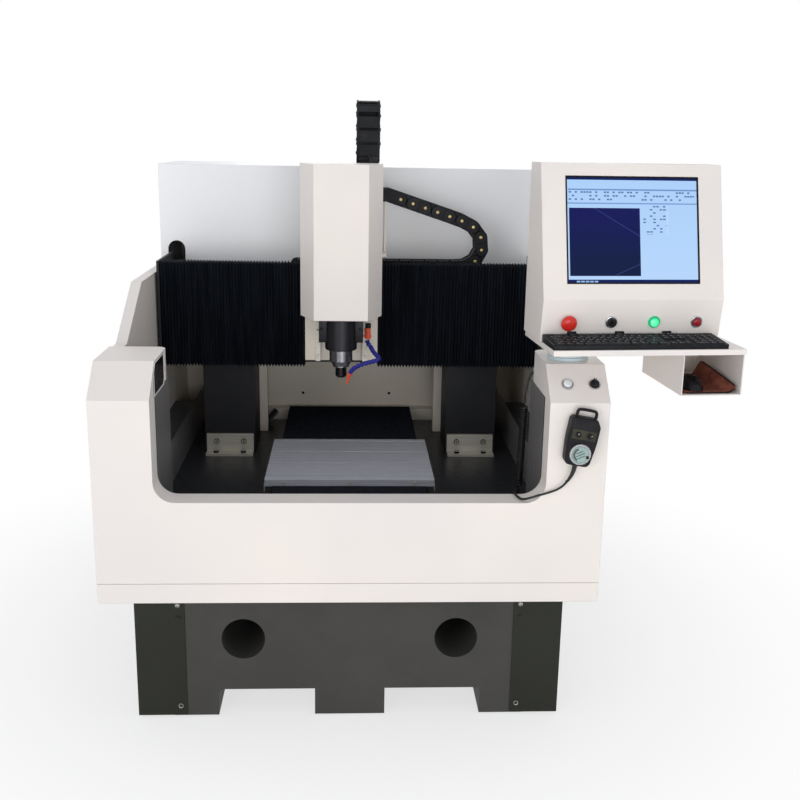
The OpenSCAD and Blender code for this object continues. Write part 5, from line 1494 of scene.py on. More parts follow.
def cable_chains() -> list[CableChain]:
    """Lays out the chains of the gantry and of the head.

    Returns:
        The two chains.
    """
    bend, ease = 0.073 * math.radians(150), 0.250 * math.radians(12)
    x_chain = CableChain(
        "gantry_chain", "x_chain", 24, (-0.180, 1.1335, 0.0),
        [(0.530, 0), (bend, 150), (ease, 12), (1.0, 0)], 0.062, 0.043, shift(0, 0.200, 0),
        ("machine", "cross_carriage"), (0, 0, 1.160), (0, 0, 1.265),
        end_box=((0.086, 0.1660, 1.3435), (0.118, 0.2340, 1.3865)))
    z_chain = CableChain(
        "head_chain", "z_chain", 16, (0.235, 1.1994, 90.0),
        [(0.3827, 0), (0.060 * math.pi, 180), (0.7, 0)], 0.073, 0.030,
        shift(0.0495, 0, 0) @ turn(90, "Z"), ("cross_carriage", "head"), (0, 0.222, 0),
        (0, 0.128, 0), pin_finish="chain_plastic")
    return [x_chain, z_chain]


@dataclass
class Console:
    """Swivelling console: its sizes, the frames that they give, and the screen's seal. Metres."""

    turn: float = 4.6
    swivel: tuple[float, float] = (0.561, -0.585)
    box_left: float = -0.102
    box_w: float = 0.463
    box_rear: float = 0.068
    box_top_d: float = 0.090
    box_fold_d: float = 0.179
    box_foot_d: float = 0.162
    box_h: float = 0.433
    fold_up: float = 0.106
    tray_top: float = 1.057
    screen_w: float = 0.342
    screen_h: float = 0.268
    screen_top: float = 0.031
    lip: float = 0.004

    def frame(self) -> Matrix:
        """Returns the console's frame on its swivel."""
        return shift(*self.swivel, 0) @ turn(self.turn, "Z")

    def fold(self, lean: float) -> Matrix:
        """Returns the frame of a front face that starts at the fold.

        Args:
            lean: How far the face leans back, in degrees.

        Returns:
            x to the right, y up the face, z outwards.
        """
        at = shift(self.box_left, self.box_rear - self.box_fold_d, self.tray_top + self.fold_up)
        return self.frame() @ at @ turn(90 - lean, "X")

    def screen_face(self) -> Matrix:
        """Finds the screen's window.

        Returns:
            Its frame, from its lower left corner.
        """
        rise, back = self.box_h - self.fold_up, self.box_fold_d - self.box_top_d
        face = math.hypot(rise, back)
        lean = math.degrees(math.atan2(back, rise))
        corner = shift((self.box_w - self.screen_w) / 2, face - self.screen_top - self.screen_h, 0)
        return self.fold(lean) @ corner

    def strip(self) -> Matrix:
        """Returns the frame of the strip that carries the controls."""
        return self.fold(-math.degrees(math.atan2(self.box_fold_d - self.box_foot_d, self.fold_up)))

    def build(self) -> None:
        """Models the rubber seal round the screen's window."""
        seal = Piece.box((0, 0, -0.003), (self.screen_w, self.screen_h, 0.0006))
        with seal.editing():
            seal.pick(Pick.FACE, lambda c, n: abs(n.z) > 0.9)
            bpy.ops.mesh.inset(thickness=self.lip, depth=0)
            bpy.ops.mesh.bridge_edge_loops()
        seal.bevel(0.0005, 1).moved(self.screen_face())
        seal.done("screen_seal", "console", "keyboard_plastic", finish="seal_rubber")


@dataclass
class Keyboard:
    """Full-size keyboard: wedge case, keys of the usual widths and three clips. Millimetres."""

    left: float = -97.5
    front: float = -206.0
    floor: float = 1057.0
    width: float = 440.0
    depth: float = 107.7
    low: float = 12.0
    high: float = 20.0
    pitch: float = 18.6
    row_pitch: float = 15.9
    key_depth: float = 14.4
    key_rise: float = 4.6
    gap: float = 1.3
    units: float = 22.8
    rear_margin: float = 8.0
    row_gap: float = 3.0
    clip: Triple = (24.0, 6.0, 12.0)
    clip_up: float = 14.0
    clip_shares: Sequence[float] = (0.17, 0.45, 0.73)
    rows: Sequence[Sequence[float]] = (
        (1, -1, 1, 1, 1, 1, -0.5, 1, 1, 1, 1, -0.5, 1, 1, 1, 1, -0.4, 1, 1, 1),
        (*[1] * 13, 2, -0.4, 1, 1, 1, -0.4, 1, 1, 1, 1),
        (1.5, *[1] * 12, 1.5, -0.4, 1, 1, 1, -0.4, 1, 1, 1, 1),
        (1.75, *[1] * 11, 2.25, -3.8, 1, 1, 1, 1),
        (2.25, *[1] * 10, 2.75, -1.4, 1, -1.4, 1, 1, 1, 1),
        (1.25, 1.25, 1.25, 6.25, 1.25, 1.25, 1.25, 1.25, -0.4, 1, 1, 1, -0.4, 2, 1, 1))

    def key(self, width: float) -> Piece:
        """Models one key with sloping sides and a dished top.

        Args:
            width: Its width in millimetres.

        Returns:
            The key, about its own middle.
        """
        x, y, rise = width / 2000, self.key_depth / 2000, self.key_rise / 1000
        piece = Piece.box((-x, -y, 0), (x, y, rise))
        with piece.editing():
            piece.pick(Pick.FACE, lambda c, n: n.z > 0.9)
            bpy.ops.transform.resize(value=(1 - 0.0022 / x, 1 - 0.0022 / y, 1),
                                     center_override=(0, 0.0004, rise))
            bpy.ops.mesh.inset(thickness=0.0012, depth=-0.0005)
            piece.pick(Pick.FACE, lambda c, n: n.z < -0.9)
            bpy.ops.mesh.delete(type="FACE")
        return piece.bevel(0.0006, 1, 40)

    def mark(self) -> Piece:
        """Models the small pale mark in a key's corner."""
        return Piece.box((-0.0042, 0.0004, 0), (-0.0014, 0.0026, 0.0003)).bevel(0.0001, 1)

    def build(self, console: Matrix) -> None:
        """Models the case, the keys with their marks, and the clips.

        Args:
            console: The console's frame.
        """
        at = console @ shift(*(c / 1000 for c in (self.left, self.front, self.floor)))
        top = at @ shift(0, 0, self.low / 1000) @ turn(
            math.degrees(math.atan2(self.high - self.low, self.depth)), "X")
        side = [(0, 0), (self.depth, 0), (self.depth, self.high), (0, self.low)]
        case = Piece.tower([(y / 1000, z / 1000) for y, z in side],
                           [(0, 1), (self.width / 1000, 1)])
        case.moved(SIDEWAYS)
        with case.editing():
            case.pick(Pick.FACE, lambda c, n: n.z > 0.9)
            bpy.ops.mesh.inset(thickness=0.004, depth=-0.0016)
        case.bevel(0.0014, 2).moved(at)
        keys, marks = [], []
        models: dict[float, Piece] = {}
        mark = self.mark()
        room = (self.width - self.units * self.pitch) / 2
        for row, units in enumerate(self.rows):
            x = room
            y = self.depth - self.rear_margin - self.row_pitch * (row + 0.5)
            y -= self.row_gap if row else 0
            for unit in units:
                if unit > 0:
                    width = unit * self.pitch - self.gap
                    if width not in models:
                        models[width] = self.key(width)
                    spot = top @ shift((x + unit * self.pitch / 2) / 1000, y / 1000, -0.0012)
                    keys.append(models[width].copied(spot))
                    if unit < 3:
                        marks.append(mark.copied(spot @ shift(0, 0, (self.key_rise - 0.6) / 1000)))
                x += abs(unit) * self.pitch
        for model in (*models.values(), mark):
            model.drop()
        case.done("keyboard_case", "console", "keyboard_plastic", 35.0)
        keys[0].joined(keys[1:]).done(
            "keyboard_keys", "console", "keyboard_plastic", 25.0, ["keyboard"], "key_plastic")
        marks[0].joined(marks[1:]).done(
            "keyboard_marks", "console", "keyboard_plastic", 30.0, finish="key_mark")
        clips = []
        for share in self.clip_shares:
            x, y, z = (c / 1000 for c in self.clip)
            clip = Piece.box((-x / 2, 0, 0), (x / 2, y, z)).bevel(0.002, 2)
            place = (self.width * share, self.depth - self.row_gap, self.clip_up)
            clips.append(clip.moved(at @ shift(*(c / 1000 for c in place))))
        clips[0].joined(clips[1:]).done(
            "keyboard_clips", "console", "keyboard_plastic", 35.0)


@dataclass
class MousePlace:
    """Mouse and its cloth pad in the compartment under the tray. Metres, in the console's frame."""

    middle: Triple = (0.3125, -0.102, 0.9425)
    size: Triple = (0.062, 0.104, 0.036)
    pad_w: float = 0.140
    pad_d: float = 0.180
    pad_t: float = 0.0024
    bend_from: float = 0.024
    bend_r: float = 0.024
    bend_to: float = 66.0
    bend_toward: tuple[float, float] = (0.985, 0.1726)
    pad_corner: float = 0.012
    hem_r: float = 0.0019
    hem_step: float = 0.006
    mouse_at: tuple[float, float] = (-0.034, -0.034)
    mouse_lift: float = 0.0004
    mouse_turn: float = 8.0

    def bent(self, point: Vector) -> Vector:
        """Bends a point of the flat pad, whose right side goes up the wall.

        Args:
            point: The point on the flat pad.

        Returns:
            Where it lies.
        """
        along = Vector((*self.bend_toward, 0))
        reach = point.dot(along) - self.bend_from
        if reach <= 0:
            return point
        most = math.radians(self.bend_to)
        angle = min(reach / self.bend_r, most)
        rest = max(0.0, reach - self.bend_r * most)
        level = self.bend_r * math.sin(angle) + rest * math.cos(most)
        rise = self.bend_r * (1 - math.cos(angle)) + rest * math.sin(most)
        return point + along * (level - reach) + Vector((0, 0, rise))

    def pad(self) -> tuple[Piece, Piece]:
        """Models the pad.

        Returns:
            Its cloth, and the hem along its edge.
        """
        bpy.ops.object.select_all(action="DESELECT")
        bpy.ops.mesh.primitive_grid_add(x_subdivisions=28, y_subdivisions=36, size=1)
        bpy.context.object.scale = (self.pad_w, self.pad_d, 1)
        cloth = Piece(bpy.context.object)
        for vert in cloth.obj.data.vertices:
            vert.co = self.bent(vert.co.copy())
        cloth.modifier("SOLIDIFY", thickness=self.pad_t, offset=1)
        outline = soft_rectangle(self.pad_w, self.pad_d, self.pad_corner, 4)
        rim = [Vector((*point, 0)) for point in outline]
        fine = []
        for a, b in zip(rim, rim[1:] + rim[:1]):
            count = max(1, round((b - a).length / self.hem_step))
            fine.extend(self.bent(a.lerp(b, k / count)) for k in range(count))
        hem = Piece.rod(fine, self.hem_r, closed=True, steps=2, sides=2)
        return cloth, hem.moved(shift(0, 0, self.pad_t / 2))

    def mouse(self) -> tuple[Piece, Piece]:
        """Models the mouse.

        Returns:
            Its shell, split between its buttons, and its wheel.
        """
        x, y, z = (c / 2 for c in self.size)
        shell = Piece.box((-x * 1.04, -y * 1.04, 0), (x * 1.04, y * 1.04, z * 2.1))
        with shell.editing():
            shell.pick(Pick.FACE, lambda c, n: n.z > 0.9)
            bpy.ops.transform.resize(value=(0.80, 0.62, 1), center_override=(0, 0, z * 2))
            bpy.ops.transform.translate(value=(0, y * 0.06, 0))
            shell.pick(Pick.FACE, lambda c, n: n.z < -0.9)
            bpy.ops.mesh.inset(thickness=0.003, depth=0)
            shell.pick(Pick.FACE, lambda c, n: n.y < -0.5)
            bpy.ops.transform.translate(value=(0, 0, -z * 0.15))
        shell.modifier("SUBSURF", levels=4, render_levels=4)
        slit = Piece.box((-0.0005, -y * 1.3, z * 0.9), (0.0005, -y * 0.05, z * 3))
        shell.modifier("BOOLEAN", object=slit.obj, operation="DIFFERENCE")
        slit.drop()
        wheel = Piece.tower(fan(28, 0.0085),
                            [(-0.003, 0.93), (-0.0022, 1), (0.0022, 1), (0.003, 0.93)])
        wheel.bevel(0.0003, 1).moved(shift(0, -y * 0.5, z * 1.42) @ turn(90, "Y"))
        return shell, wheel

    def build(self, console: Matrix) -> None:
        """Lays the pad and the mouse.

        Args:
            console: The console's frame.
        """
        floor = console @ shift(*self.middle)
        cloth, hem = self.pad()
        shell, wheel = self.mouse()
        slot, body = "mouse_plastic", "console"
        hem_obj = hem.moved(floor).done("mouse_pad_hem", body, slot, finish="seal_rubber")
        pad = cloth.moved(floor).done("mouse_pad", body, slot, 40.0, finish="pad_print")
        on_pad = floor @ shift(*self.mouse_at, self.pad_t + self.mouse_lift)
        on_pad = on_pad @ turn(self.mouse_turn, "Z")
        shell.moved(on_pad).done("mouse_shell", body, slot, 40.0, ["mouse"])
        wheel.moved(on_pad).done("mouse_wheel", body, slot, finish="seal_rubber")


@dataclass
class Controls:
    """Rings, caps and knobs of the console's strip and of the pillar's slope.

    Millimetres, but for the gland's place in the frame.
    """

    strip_y: float = -57.0
    first: float = 67.0
    pitch: float = 111.0
    pillar: Triple = (572.0, -709.0, 952.27)
    pillar_gap: float = 68.0
    pillar_lean: float = 42.27
    ring: Outline = (
        (11, 0), (15.5, 0), (15.5, 2.2), (14.7, 3.6), (13.4, 4), (12, 3.8), (11, 3), (11, 0))
    cap: Outline = (
        (0, 11), (4, 10.9), (7.5, 10.4), (9.8, 9.4), (10.7, 8), (10.8, 4.1), (0, 4.1))
    mushroom: Outline = (
        (0, 21), (6, 20.9), (11, 20), (15.4, 18.2), (18.4, 15.8), (19.8, 13), (20, 11), (19.2, 9),
        (17.6, 8.1), (9, 8), (8.6, 0.5), (0, 0.5))
    barrel: Outline = (
        (0, 9.6), (3.4, 9.6), (3.6, 10.6), (7.8, 12), (9.4, 11.8), (10.4, 10.6), (10.6, 4.1),
        (0, 4.1))
    turned: Outline = (
        (0, 10.2), (8.6, 10.2), (10.2, 9.4), (10.8, 8), (10.8, 4.1), (0, 4.1))
    dome: Outline = ((3.4, 4.5), (8.2, 4.5), (8, 6.2), (6.2, 7.8), (3.4, 8), (3.4, 4.5))
    key_size: Triple = (2.6, 17.0, 10.0)
    grip_size: Triple = (6.0, 20.5, 8.6)
    gland_at: Triple = (0.502, -0.472, 0.936)

    def spun(self, outline: Outline) -> Piece:
        """Spins an outline given in millimetres."""
        return Piece.lathe([(r / 1000, h / 1000) for r, h in outline], 48)

    def grip(self, size: Triple, foot: float) -> Piece:
        """Models a rounded grip across a knob.

        Args:
            size: Its width, length and height.
            foot: Height that it starts at.

        Returns:
            The grip.
        """
        x, y, z = size
        outline = [(a / 1000, b / 1000) for a, b in rectangle(x, y)]
        stations = [(foot / 1000, 1.0), ((foot + z * 0.7) / 1000, 0.96), ((foot + z) / 1000, 0.84)]
        return Piece.tower(outline, stations).bevel(0.0012, 3)

    def at_pillar(self, side: int) -> Matrix:
        """Finds a control's seat on the pillar.

        Args:
            side: -1 for the left one and 1 for the right one.

        Returns:
            Its frame.
        """
        x, y, z = self.pillar
        spot = shift((x + side * self.pillar_gap / 2) / 1000, y / 1000, z / 1000)
        return spot @ turn(self.pillar_lean, "X")

    def build(self, strip: Matrix) -> None:
        """Models them all.

        Args:
            strip: Frame of the console's strip.
        """
        spots = [strip @ shift((self.first + index * self.pitch) / 1000, self.strip_y / 1000, 0)
                 for index in range(4)]
        ring = self.spun(self.ring)
        rings = [ring.copied(spots[index]) for index in (0, 1, 3)]
        # The ring round the green lamp glows green: painted light of the lamp on a silver ring.
        lit = ring.copied(spots[2])
        rings[0].joined(rings[1:]).done("console_rings", "console", "bezel_steel", 40.0,
                                        ["console_bezels"])
        lit.done("green_glow_ring", "console", "lamp_green", 40.0, finish="painted_ring_glow")
        pair = [ring.copied(self.at_pillar(side)) for side in (-1, 1)]
        pair[0].joined([pair[1], self.gland()]).done("pillar_rings", "machine", "bezel_steel",
                                                     40.0, ["pillar_bezels"])
        ring.drop()
        caps = ((self.mushroom, spots[0], "stop_red", "estop", "stop_button"),
                (self.cap, spots[2], "lamp_green", "green_button", "start_button"),
                (self.cap, spots[3], "button_red", "red_button", "end_button"),
                (self.cap, self.at_pillar(-1), "button_white", "pillar_button", "white_button"))
        for outline, spot, slot, node, body in caps:
            self.spun(outline).moved(spot).done(f"{node}_cap", body, slot, 40.0, [node])
        key = self.grip(self.key_size, 11.0)
        self.spun(self.barrel).joined([key]).moved(spots[1]).done(
            "key_barrel", "key", "knob_black", 40.0, ["key_switch"])
        grip = self.grip(self.grip_size, 10.0)
        self.spun(self.turned).joined([grip]).moved(self.at_pillar(1)).done(
            "pillar_knob_grip", "selector_knob", "knob_black", 40.0, ["pillar_knob"])
        pointer = Piece.box((-0.0006, 0.003, 0.0184), (0.0006, 0.009, 0.0189)).bevel(0.0002, 1)
        pointer.moved(self.at_pillar(1)).done(
            "pillar_knob_pointer", "selector_knob", "button_white", 40.0)

    def gland(self) -> Piece:
        """Models the cable gland on the pillar's back.

        Returns:
            A nut with a domed end.
        """
        nut = Piece.tower(fan(6, 0.0098, 30), [(0, 0.96), (0.0006, 1), (0.0044, 1), (0.005, 0.96)])
        dome = Piece.lathe([(r / 1000, h / 1000) for r, h in self.dome], 32)
        return nut.joined([dome]).moved(shift(*self.gland_at) @ turn(-90, "X"))


@dataclass
class Pendant:
    """Hand pendant: waisted case, carrying loop, label plate, two selectors and a hand wheel."""

    at: Matrix = field(
        default_factory=lambda: shift(0.566, -0.750, 0.824) @ turn(90, "X") @ turn(-10, "Z"))
    half_l: float = 0.061
    outline: Outline = (
        (-0.031, -0.061), (0.031, -0.061), (0.038, -0.002), (0.038, 0.044), (0.028, 0.061),
        (-0.032, 0.061), (-0.038, 0.053), (-0.038, -0.002))
    fillets: Sequence[float] = (0.014, 0.014, 0.016, 0.004, 0.004, 0.004, 0.004, 0.016)
    back: float = 0.003
    front: float = 0.039
    parting: float = 0.0006
    loop_size: tuple[float, float] = (0.048, 0.022)
    loop_corner: float = 0.007
    loop_at: Triple = (0.0, 0.068, 0.019)
    loop_r: float = 0.0038
    wheel_y: float = -0.028
    wheel_r: float = 0.027
    wheel_z: float = 0.0393
    teeth: int = 42
    tooth: float = 0.0011
    plate_r: float = 0.0218
    ticks: int = 50
    mark_z: tuple[float, float] = (0.0089, 0.00925)
    crank: Outline = (
        (0, 0.0165), (0.0024, 0.0163), (0.0036, 0.0148), (0.0040, 0.0125), (0.0032, 0.0100),
        (0.0034, 0.0085), (0, 0.0085))
    crank_at: Triple = (0.0178, -0.003, 0.0)
    selector_x: float = 0.015
    selector_y: float = 0.020
    skirt: Outline = (
        (0, 0.0062), (0.0058, 0.0062), (0.0068, 0.0050), (0.0070, 0.0004), (0, 0.0004))

    def case(self) -> Piece:
        """Models the case with its parting line and its raised front.

        Returns:
            The case and its magnets.
        """
        middle, half = (self.back + self.front) / 2, self.parting / 2
        piece = Piece.tower(filleted(self.outline, self.fillets), [
            (self.back, 0.94), (self.back + 0.003, 1), (middle - 2 * half, 1),
            (middle - half, 0.985), (middle + half, 0.985), (middle + 2 * half, 1),
            (self.front - 0.005, 1), (self.front - 0.0022, 0.975), (self.front - 0.001, 0.93),
            (self.front - 0.001, 0.91), (self.front, 0.90)])
        top = self.back + 0.0004
        magnet = [(0, 0), (0.0095, 0), (0.010, 0.0005), (0.010, top), (0, top)]
        return piece.joined([Piece.lathe(magnet, 32).moved(shift(0, side * self.half_l / 2, 0))
                             for side in (-1, 1)])

    def loop(self) -> Piece:
        """Models the carrying loop on top.

        Returns:
            The loop.
        """
        outline = soft_rectangle(*self.loop_size, self.loop_corner, 3)
        x, y, z = self.loop_at
        points = [Vector((x + across, y + along, 0)) for across, along in outline]
        piece = Piece.rod(points, self.loop_r, closed=True, steps=3, sides=3)
        return piece.moved(shift(0, 0, z) @ Matrix.Scale(1.7, 4, (0, 0, 1)))

    def wheel(self) -> Piece:
        """Models the hand wheel's fluted rim and sunk ring.

        Returns:
            The wheel.
        """
        outline = []
        for index in range(self.teeth * 4):
            angle = 2 * math.pi * index / (self.teeth * 4)
            radius = self.wheel_r - (self.tooth if index % 4 in (0, 1) else 0)
            outline.append((radius * math.cos(angle), radius * math.sin(angle)))
        piece = Piece.tower(outline, [(0, 0.95), (0.0008, 1), (0.0066, 1), (0.0085, 0.93)])
        with piece.editing():
            piece.pick(Pick.FACE, lambda c, n: n.z > 0.9)
            bpy.ops.mesh.inset(thickness=0.0016, depth=0)
            bpy.ops.mesh.inset(thickness=0.0004, depth=-0.0012)
        return piece

    def wheel_face(self) -> tuple[Piece, Piece, Piece]:
        """Models what the wheel carries.

        Returns:
            Its tinted plate, its tick marks with a dark sector of painted shade and three dark
            stripes of painted reflection, and its crank.
        """
        r, (low, high) = self.plate_r, self.mark_z
        plate = Piece.lathe([(0, 0.0092), (r - 0.0006, 0.0090), (r, 0.0085), (r, 0.007),
                             (0, 0.007)], 64)
        marks = []
        for index in range(self.ticks):
            reach = 0.0026 if index % 5 else 0.0042
            tick = Piece.box((r - reach, -0.00022, low), (r - 0.0008, 0.00022, high))
            marks.append(tick.moved(turn(360 / self.ticks * index, "Z")))
        # Painted shade: a dark sector inside the left of the rim.
        shade_sector = arc(0.0182, 120, 250, 26) + arc(0.0130, 250, 120, 26)
        marks.append(Piece.tower(shade_sector, [(low, 1), (high, 1)]))
        # Painted reflections: three dark slanted stripes across the face.
        for across, reach in ((-0.0065, 0.020), (0.0, 0.024), (0.0065, 0.018)):
            reflection_stripe = Piece.tower(rectangle(reach, 0.0022), [(low, 1), (0.0093, 0.98)])
            marks.append(reflection_stripe.moved(turn(32, "Z") @ shift(0, across, 0)))
        crank = Piece.lathe(self.crank, 24).moved(shift(*self.crank_at))
        return plate, marks[0].joined(marks[1:]), crank

    def selector(self) -> Piece:
        """Models one selector with its finger grip."""
        bar = Piece.tower(rectangle(0.0046, 0.0126), [(0.0055, 1), (0.0105, 0.9)])
        return Piece.lathe(self.skirt, 32).joined([bar.bevel(0.0008, 2)])

    def build(self) -> None:
        """Models the whole pendant."""
        self.case().joined([self.loop()]).moved(self.at).done(
            "pendant_case", "machine", "pendant_plastic", 35.0, ["pendant_body"])
        plate = Piece.tower(rectangle(0.060, 0.024), [(0, 1), (0.0007, 1), (0.0010, 0.985)])
        plate.moved(self.at @ shift(0, self.selector_y, self.front - 0.0002)).done(
            "pendant_plate", "machine", "pendant_plastic", 35.0, finish="label_plate")
        for side, node, body, angle in ((-1, "pendant_selector_l", "axis_selector", 25),
                                        (1, "pendant_selector_r", "step_selector", -30)):
            place = shift(side * self.selector_x, self.selector_y, self.front + 0.0006)
            spot = self.at @ place @ turn(angle, "Z")
            self.selector().moved(spot).done(f"{node}_knob", body, "knob_black", 35.0, [node])
            dot = Piece.box((-0.0006, 0.0016, 0.0102), (0.0006, 0.0056, 0.01075))
            dot.bevel(0.0002, 1).moved(spot).done(f"{node}_line", body, "button_white", 35.0)
        hub, body = self.at @ shift(0, self.wheel_y, self.wheel_z), "hand_wheel"
        self.wheel().moved(hub).done("hand_wheel_rim", body, "dial_metal", 30.0, ["pendant_dial"])
        plate, marks, crank = self.wheel_face()
        plate.moved(hub).done("hand_wheel_plate", body, "dial_metal", finish="dial_face")
        marks.moved(hub).done("hand_wheel_marks", body, "knob_black", finish="dial_ticks_shade_and_reflections")
        crank.moved(hub).done("hand_wheel_crank", body, "knob_black")


@dataclass
class CoolantLine:
    """Segmented hose from the valve to the nozzle.

    Its points, tip, pitch, ball and cup are in millimetres from the spindle's foot, the rest in
    metres.
    """

    foot: Triple = (-0.0315, -0.110, 0.918)
    ball_r: float = 7.4
    pitch: float = 12.5
    points: Sequence[Sequence[float]] = (
        (79.5, 40, 20), (79.5, 40, 14), (84, 37, 8), (89.5, 33, 3), (97.5, 18, -10),
        (107.5, 2, -19),
        (115.5, -14, -25), (109.5, -30, -28), (95.5, -39, -30), (79.5, -45, -33), (63.5, -50, -37),
        (48.5, -53, -43), (35.5, -53, -52), (27.5, -49, -63))
    tip: Triple = (17.5, -34, -100)
    valve_at: Triple = (0.0795, 0.040, 0.024)
    # Outlines of (radius, height) points; a segment's radii are shares of the ball's.
    cup: Outline = (
        (0, 0), (0.90, 0), (1, 1.2), (0.97, 4.6), (0.80, 7.0), (0.66, 8.2), (0.66, 9.0),
        (0.82, 10.4), (0.86, 12.4), (0.74, 14.4), (0, 15.4))
    nozzle: Outline = (
        (0, 0), (0.0058, 0), (0.0072, 0.001), (0.0072, 0.006), (0.0062, 0.0072), (0.0058, 0.013))
    valve: Outline = (
        (0, 0.034), (0.0072, 0.034), (0.0078, 0.0332), (0.0078, 0.024), (0.0066, 0.0225),
        (0.0066, 0.0205), (0.0078, 0.019), (0.0078, 0.0125), (0.0068, 0.0115), (0.0064, 0.0015),
        (0.0056, 0), (0, 0))
    nut: Outline = ((0.0040, 0.96), (0.0046, 1), (0.0108, 1), (0.0114, 0.96))

    def smooth(self) -> list[Vector]:
        """Smooths the hose's line.

        Returns:
            Even points along it, a segment apart.
        """
        knots = [Vector(point) for point in self.points]
        fine = [knots[0]]
        last = len(knots) - 1
        for index in range(last):
            before, a, b, after = (knots[max(0, min(last, index + k))] for k in (-1, 0, 1, 2))
            for step in range(1, 9):
                t = step / 8
                square = (2 * before - 5 * a + 4 * b - after) * t * t
                cube = (3 * a - before - 3 * b + after) * t * t * t
                fine.append(0.5 * (2 * a + (b - before) * t + square + cube))
        length = sum((b - a).length for a, b in zip(fine, fine[1:]))
        count = round(length / self.pitch)
        even, walked, wanted = [fine[0]], 0.0, length / count
        for a, b in zip(fine, fine[1:]):
            walked += (b - a).length
            if walked >= wanted * len(even) - 1e-6:
                even.append(b)
        return even

    def segment(self) -> Piece:
        """Models one segment: a ball in front and a flared cup behind, in metres along z."""
        return Piece.lathe([(self.ball_r * a / 1000, b / 1000) for a, b in self.cup], 20)

    def along(self, a: Vector, b: Vector) -> Matrix:
        """Returns the frame that starts at a and looks along z at b, both in millimetres."""
        facing = (b - a).to_track_quat("Z", "Y").to_matrix().to_4x4()
        return shift(*self.foot) @ Matrix.Translation(a / 1000) @ facing

    def build(self) -> None:
        """Models the hose, its nozzle and the valve's body."""
        even = self.smooth()
        model = self.segment()
        links = [model.copied(self.along(a, b)) for a, b in zip(even, even[1:])]
        model.drop()
        links[0].joined(links[1:]).done("coolant_segments", "head", "hose_blue", 40.0,
                                        ["coolant_hose"])
        end, tip = even[-1], Vector(self.tip)
        reach = (tip - end).length / 1000
        mouth = [(0.0033, reach - 0.003), (0.0030, reach), (0.0016, reach),
                 (0.0016, reach - 0.004), (0, reach - 0.004)]
        Piece.lathe([*self.nozzle, *mouth], 28).moved(self.along(end, tip)).done(
            "coolant_nozzle", "head", "valve_orange", 35.0)
        valve = Piece.lathe(self.valve, 32).joined([Piece.tower(fan(6, 0.0096), self.nut)])
        valve.moved(shift(*self.foot) @ shift(*self.valve_at)).done(
            "coolant_valve_body", "head", "valve_orange", 35.0)


@dataclass
class SpindleBlock:
    """Block that holds the spindle, which stands proud of it in front. Metres."""

    middle: float = -0.0315
    half_w: float = 0.0665
    front: float = -0.134
    bore_y: float = -0.110
    bore_r: float = 0.0488
    foot_up: float = 0.012
    bolt_r: float = 0.0045
    bolt_in: float = 0.008
    bolt_shares: Sequence[float] = (0.3, 0.7)

    def build(self) -> None:
        """Models the block with its bore, and the four bolts in its front."""
        low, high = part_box("spindle_clamp")
        foot = low[2] + self.foot_up
        piece = Piece.box((self.middle - self.half_w, self.front, foot),
                          (self.middle + self.half_w, high[1], high[2]))
        bore = Piece.drum(self.bore_r, 1.0, 96, (self.middle, self.bore_y, (low[2] + high[2]) / 2))
        piece.modifier("BOOLEAN", object=bore.obj, operation="DIFFERENCE")
        bore.drop()
        piece.bevel(0.0012, 2, 50).done("spindle_block", "head", "anodised_black", 40.0,
                                        ["spindle_clamp"])
        spots = [shift(self.middle + side * (self.half_w - self.bolt_in), self.front,
                       foot + (high[2] - foot) * share) @ turn(90, "X")
                 for side in (-1, 1) for share in self.bolt_shares]
        bolts(self.bolt_r, spots).done("spindle_block_bolts", "head", "anodised_black", 35.0,
                                       finish="collet_steel")


@dataclass
class Fasteners:
    """Screws of the wall, the column brackets, the head's rails and the base's sheets. Metres."""

    wall: Sequence[Triple] = ((-0.180, 0.62, 0.601), (0.145, 0.62, 0.601))
    wall_r: float = 0.0050
    cover_x: float = 0.4575
    cover_y: float = -0.6525
    cover_z: Sequence[float] = (0.037, 0.333)
    cover_r: float = 0.0070
    column_x: float = 0.4015
    bolt_x: float = 0.045
    bolt_up: float = 0.041
    bolt_r: float = 0.0090
    bracket_y: float = 0.142
    foot_y: float = 0.122
    foot_t: float = 0.008
    rail_x: Sequence[float] = (-0.1081, 0.0451)
    rail_y: float = 0.0223
    rail_pitch: float = 0.0289
    rail_r: float = 0.0038
    rail_first: float = 0.010
    rail_ends: float = 0.012

    def build(self) -> None:
        """Sets them all."""
        forward = turn(90, "X")
        sides = (-1, 1)
        wall = [shift(*spot) @ forward for spot in self.wall]
        cover = [shift(side * self.cover_x, self.cover_y, z) @ forward
                 for side in sides for z in self.cover_z]
        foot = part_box("column_brackets")[0][2]
        bracket = []
        for x in (side * self.column_x + step * self.bolt_x for side in sides for step in sides):
            bracket.append(shift(x, self.bracket_y, foot + self.bolt_up) @ forward)
            bracket.append(shift(x, self.foot_y, foot + self.foot_t))
        low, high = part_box("z_rails")
        count = int((high[2] - low[2] - self.rail_ends) / self.rail_pitch)
        rail = [shift(x, self.rail_y, high[2] - self.rail_first - index * self.rail_pitch) @ forward
                for x in self.rail_x for index in range(count + 1)]
        for name, body, radius, spots, finish in (
                ("wall_screws", "machine", self.wall_r, wall, "collet_steel"),
                ("cover_screws", "machine", self.cover_r, cover, "screw_steel"),
                ("bracket_bolts", "machine", self.bolt_r, bracket, "collet_steel"),
                ("rail_screws", "cross_carriage", self.rail_r, rail, "collet_steel")):
            bolts(radius, spots).done(name, body, "ground_steel", 35.0, finish=finish)


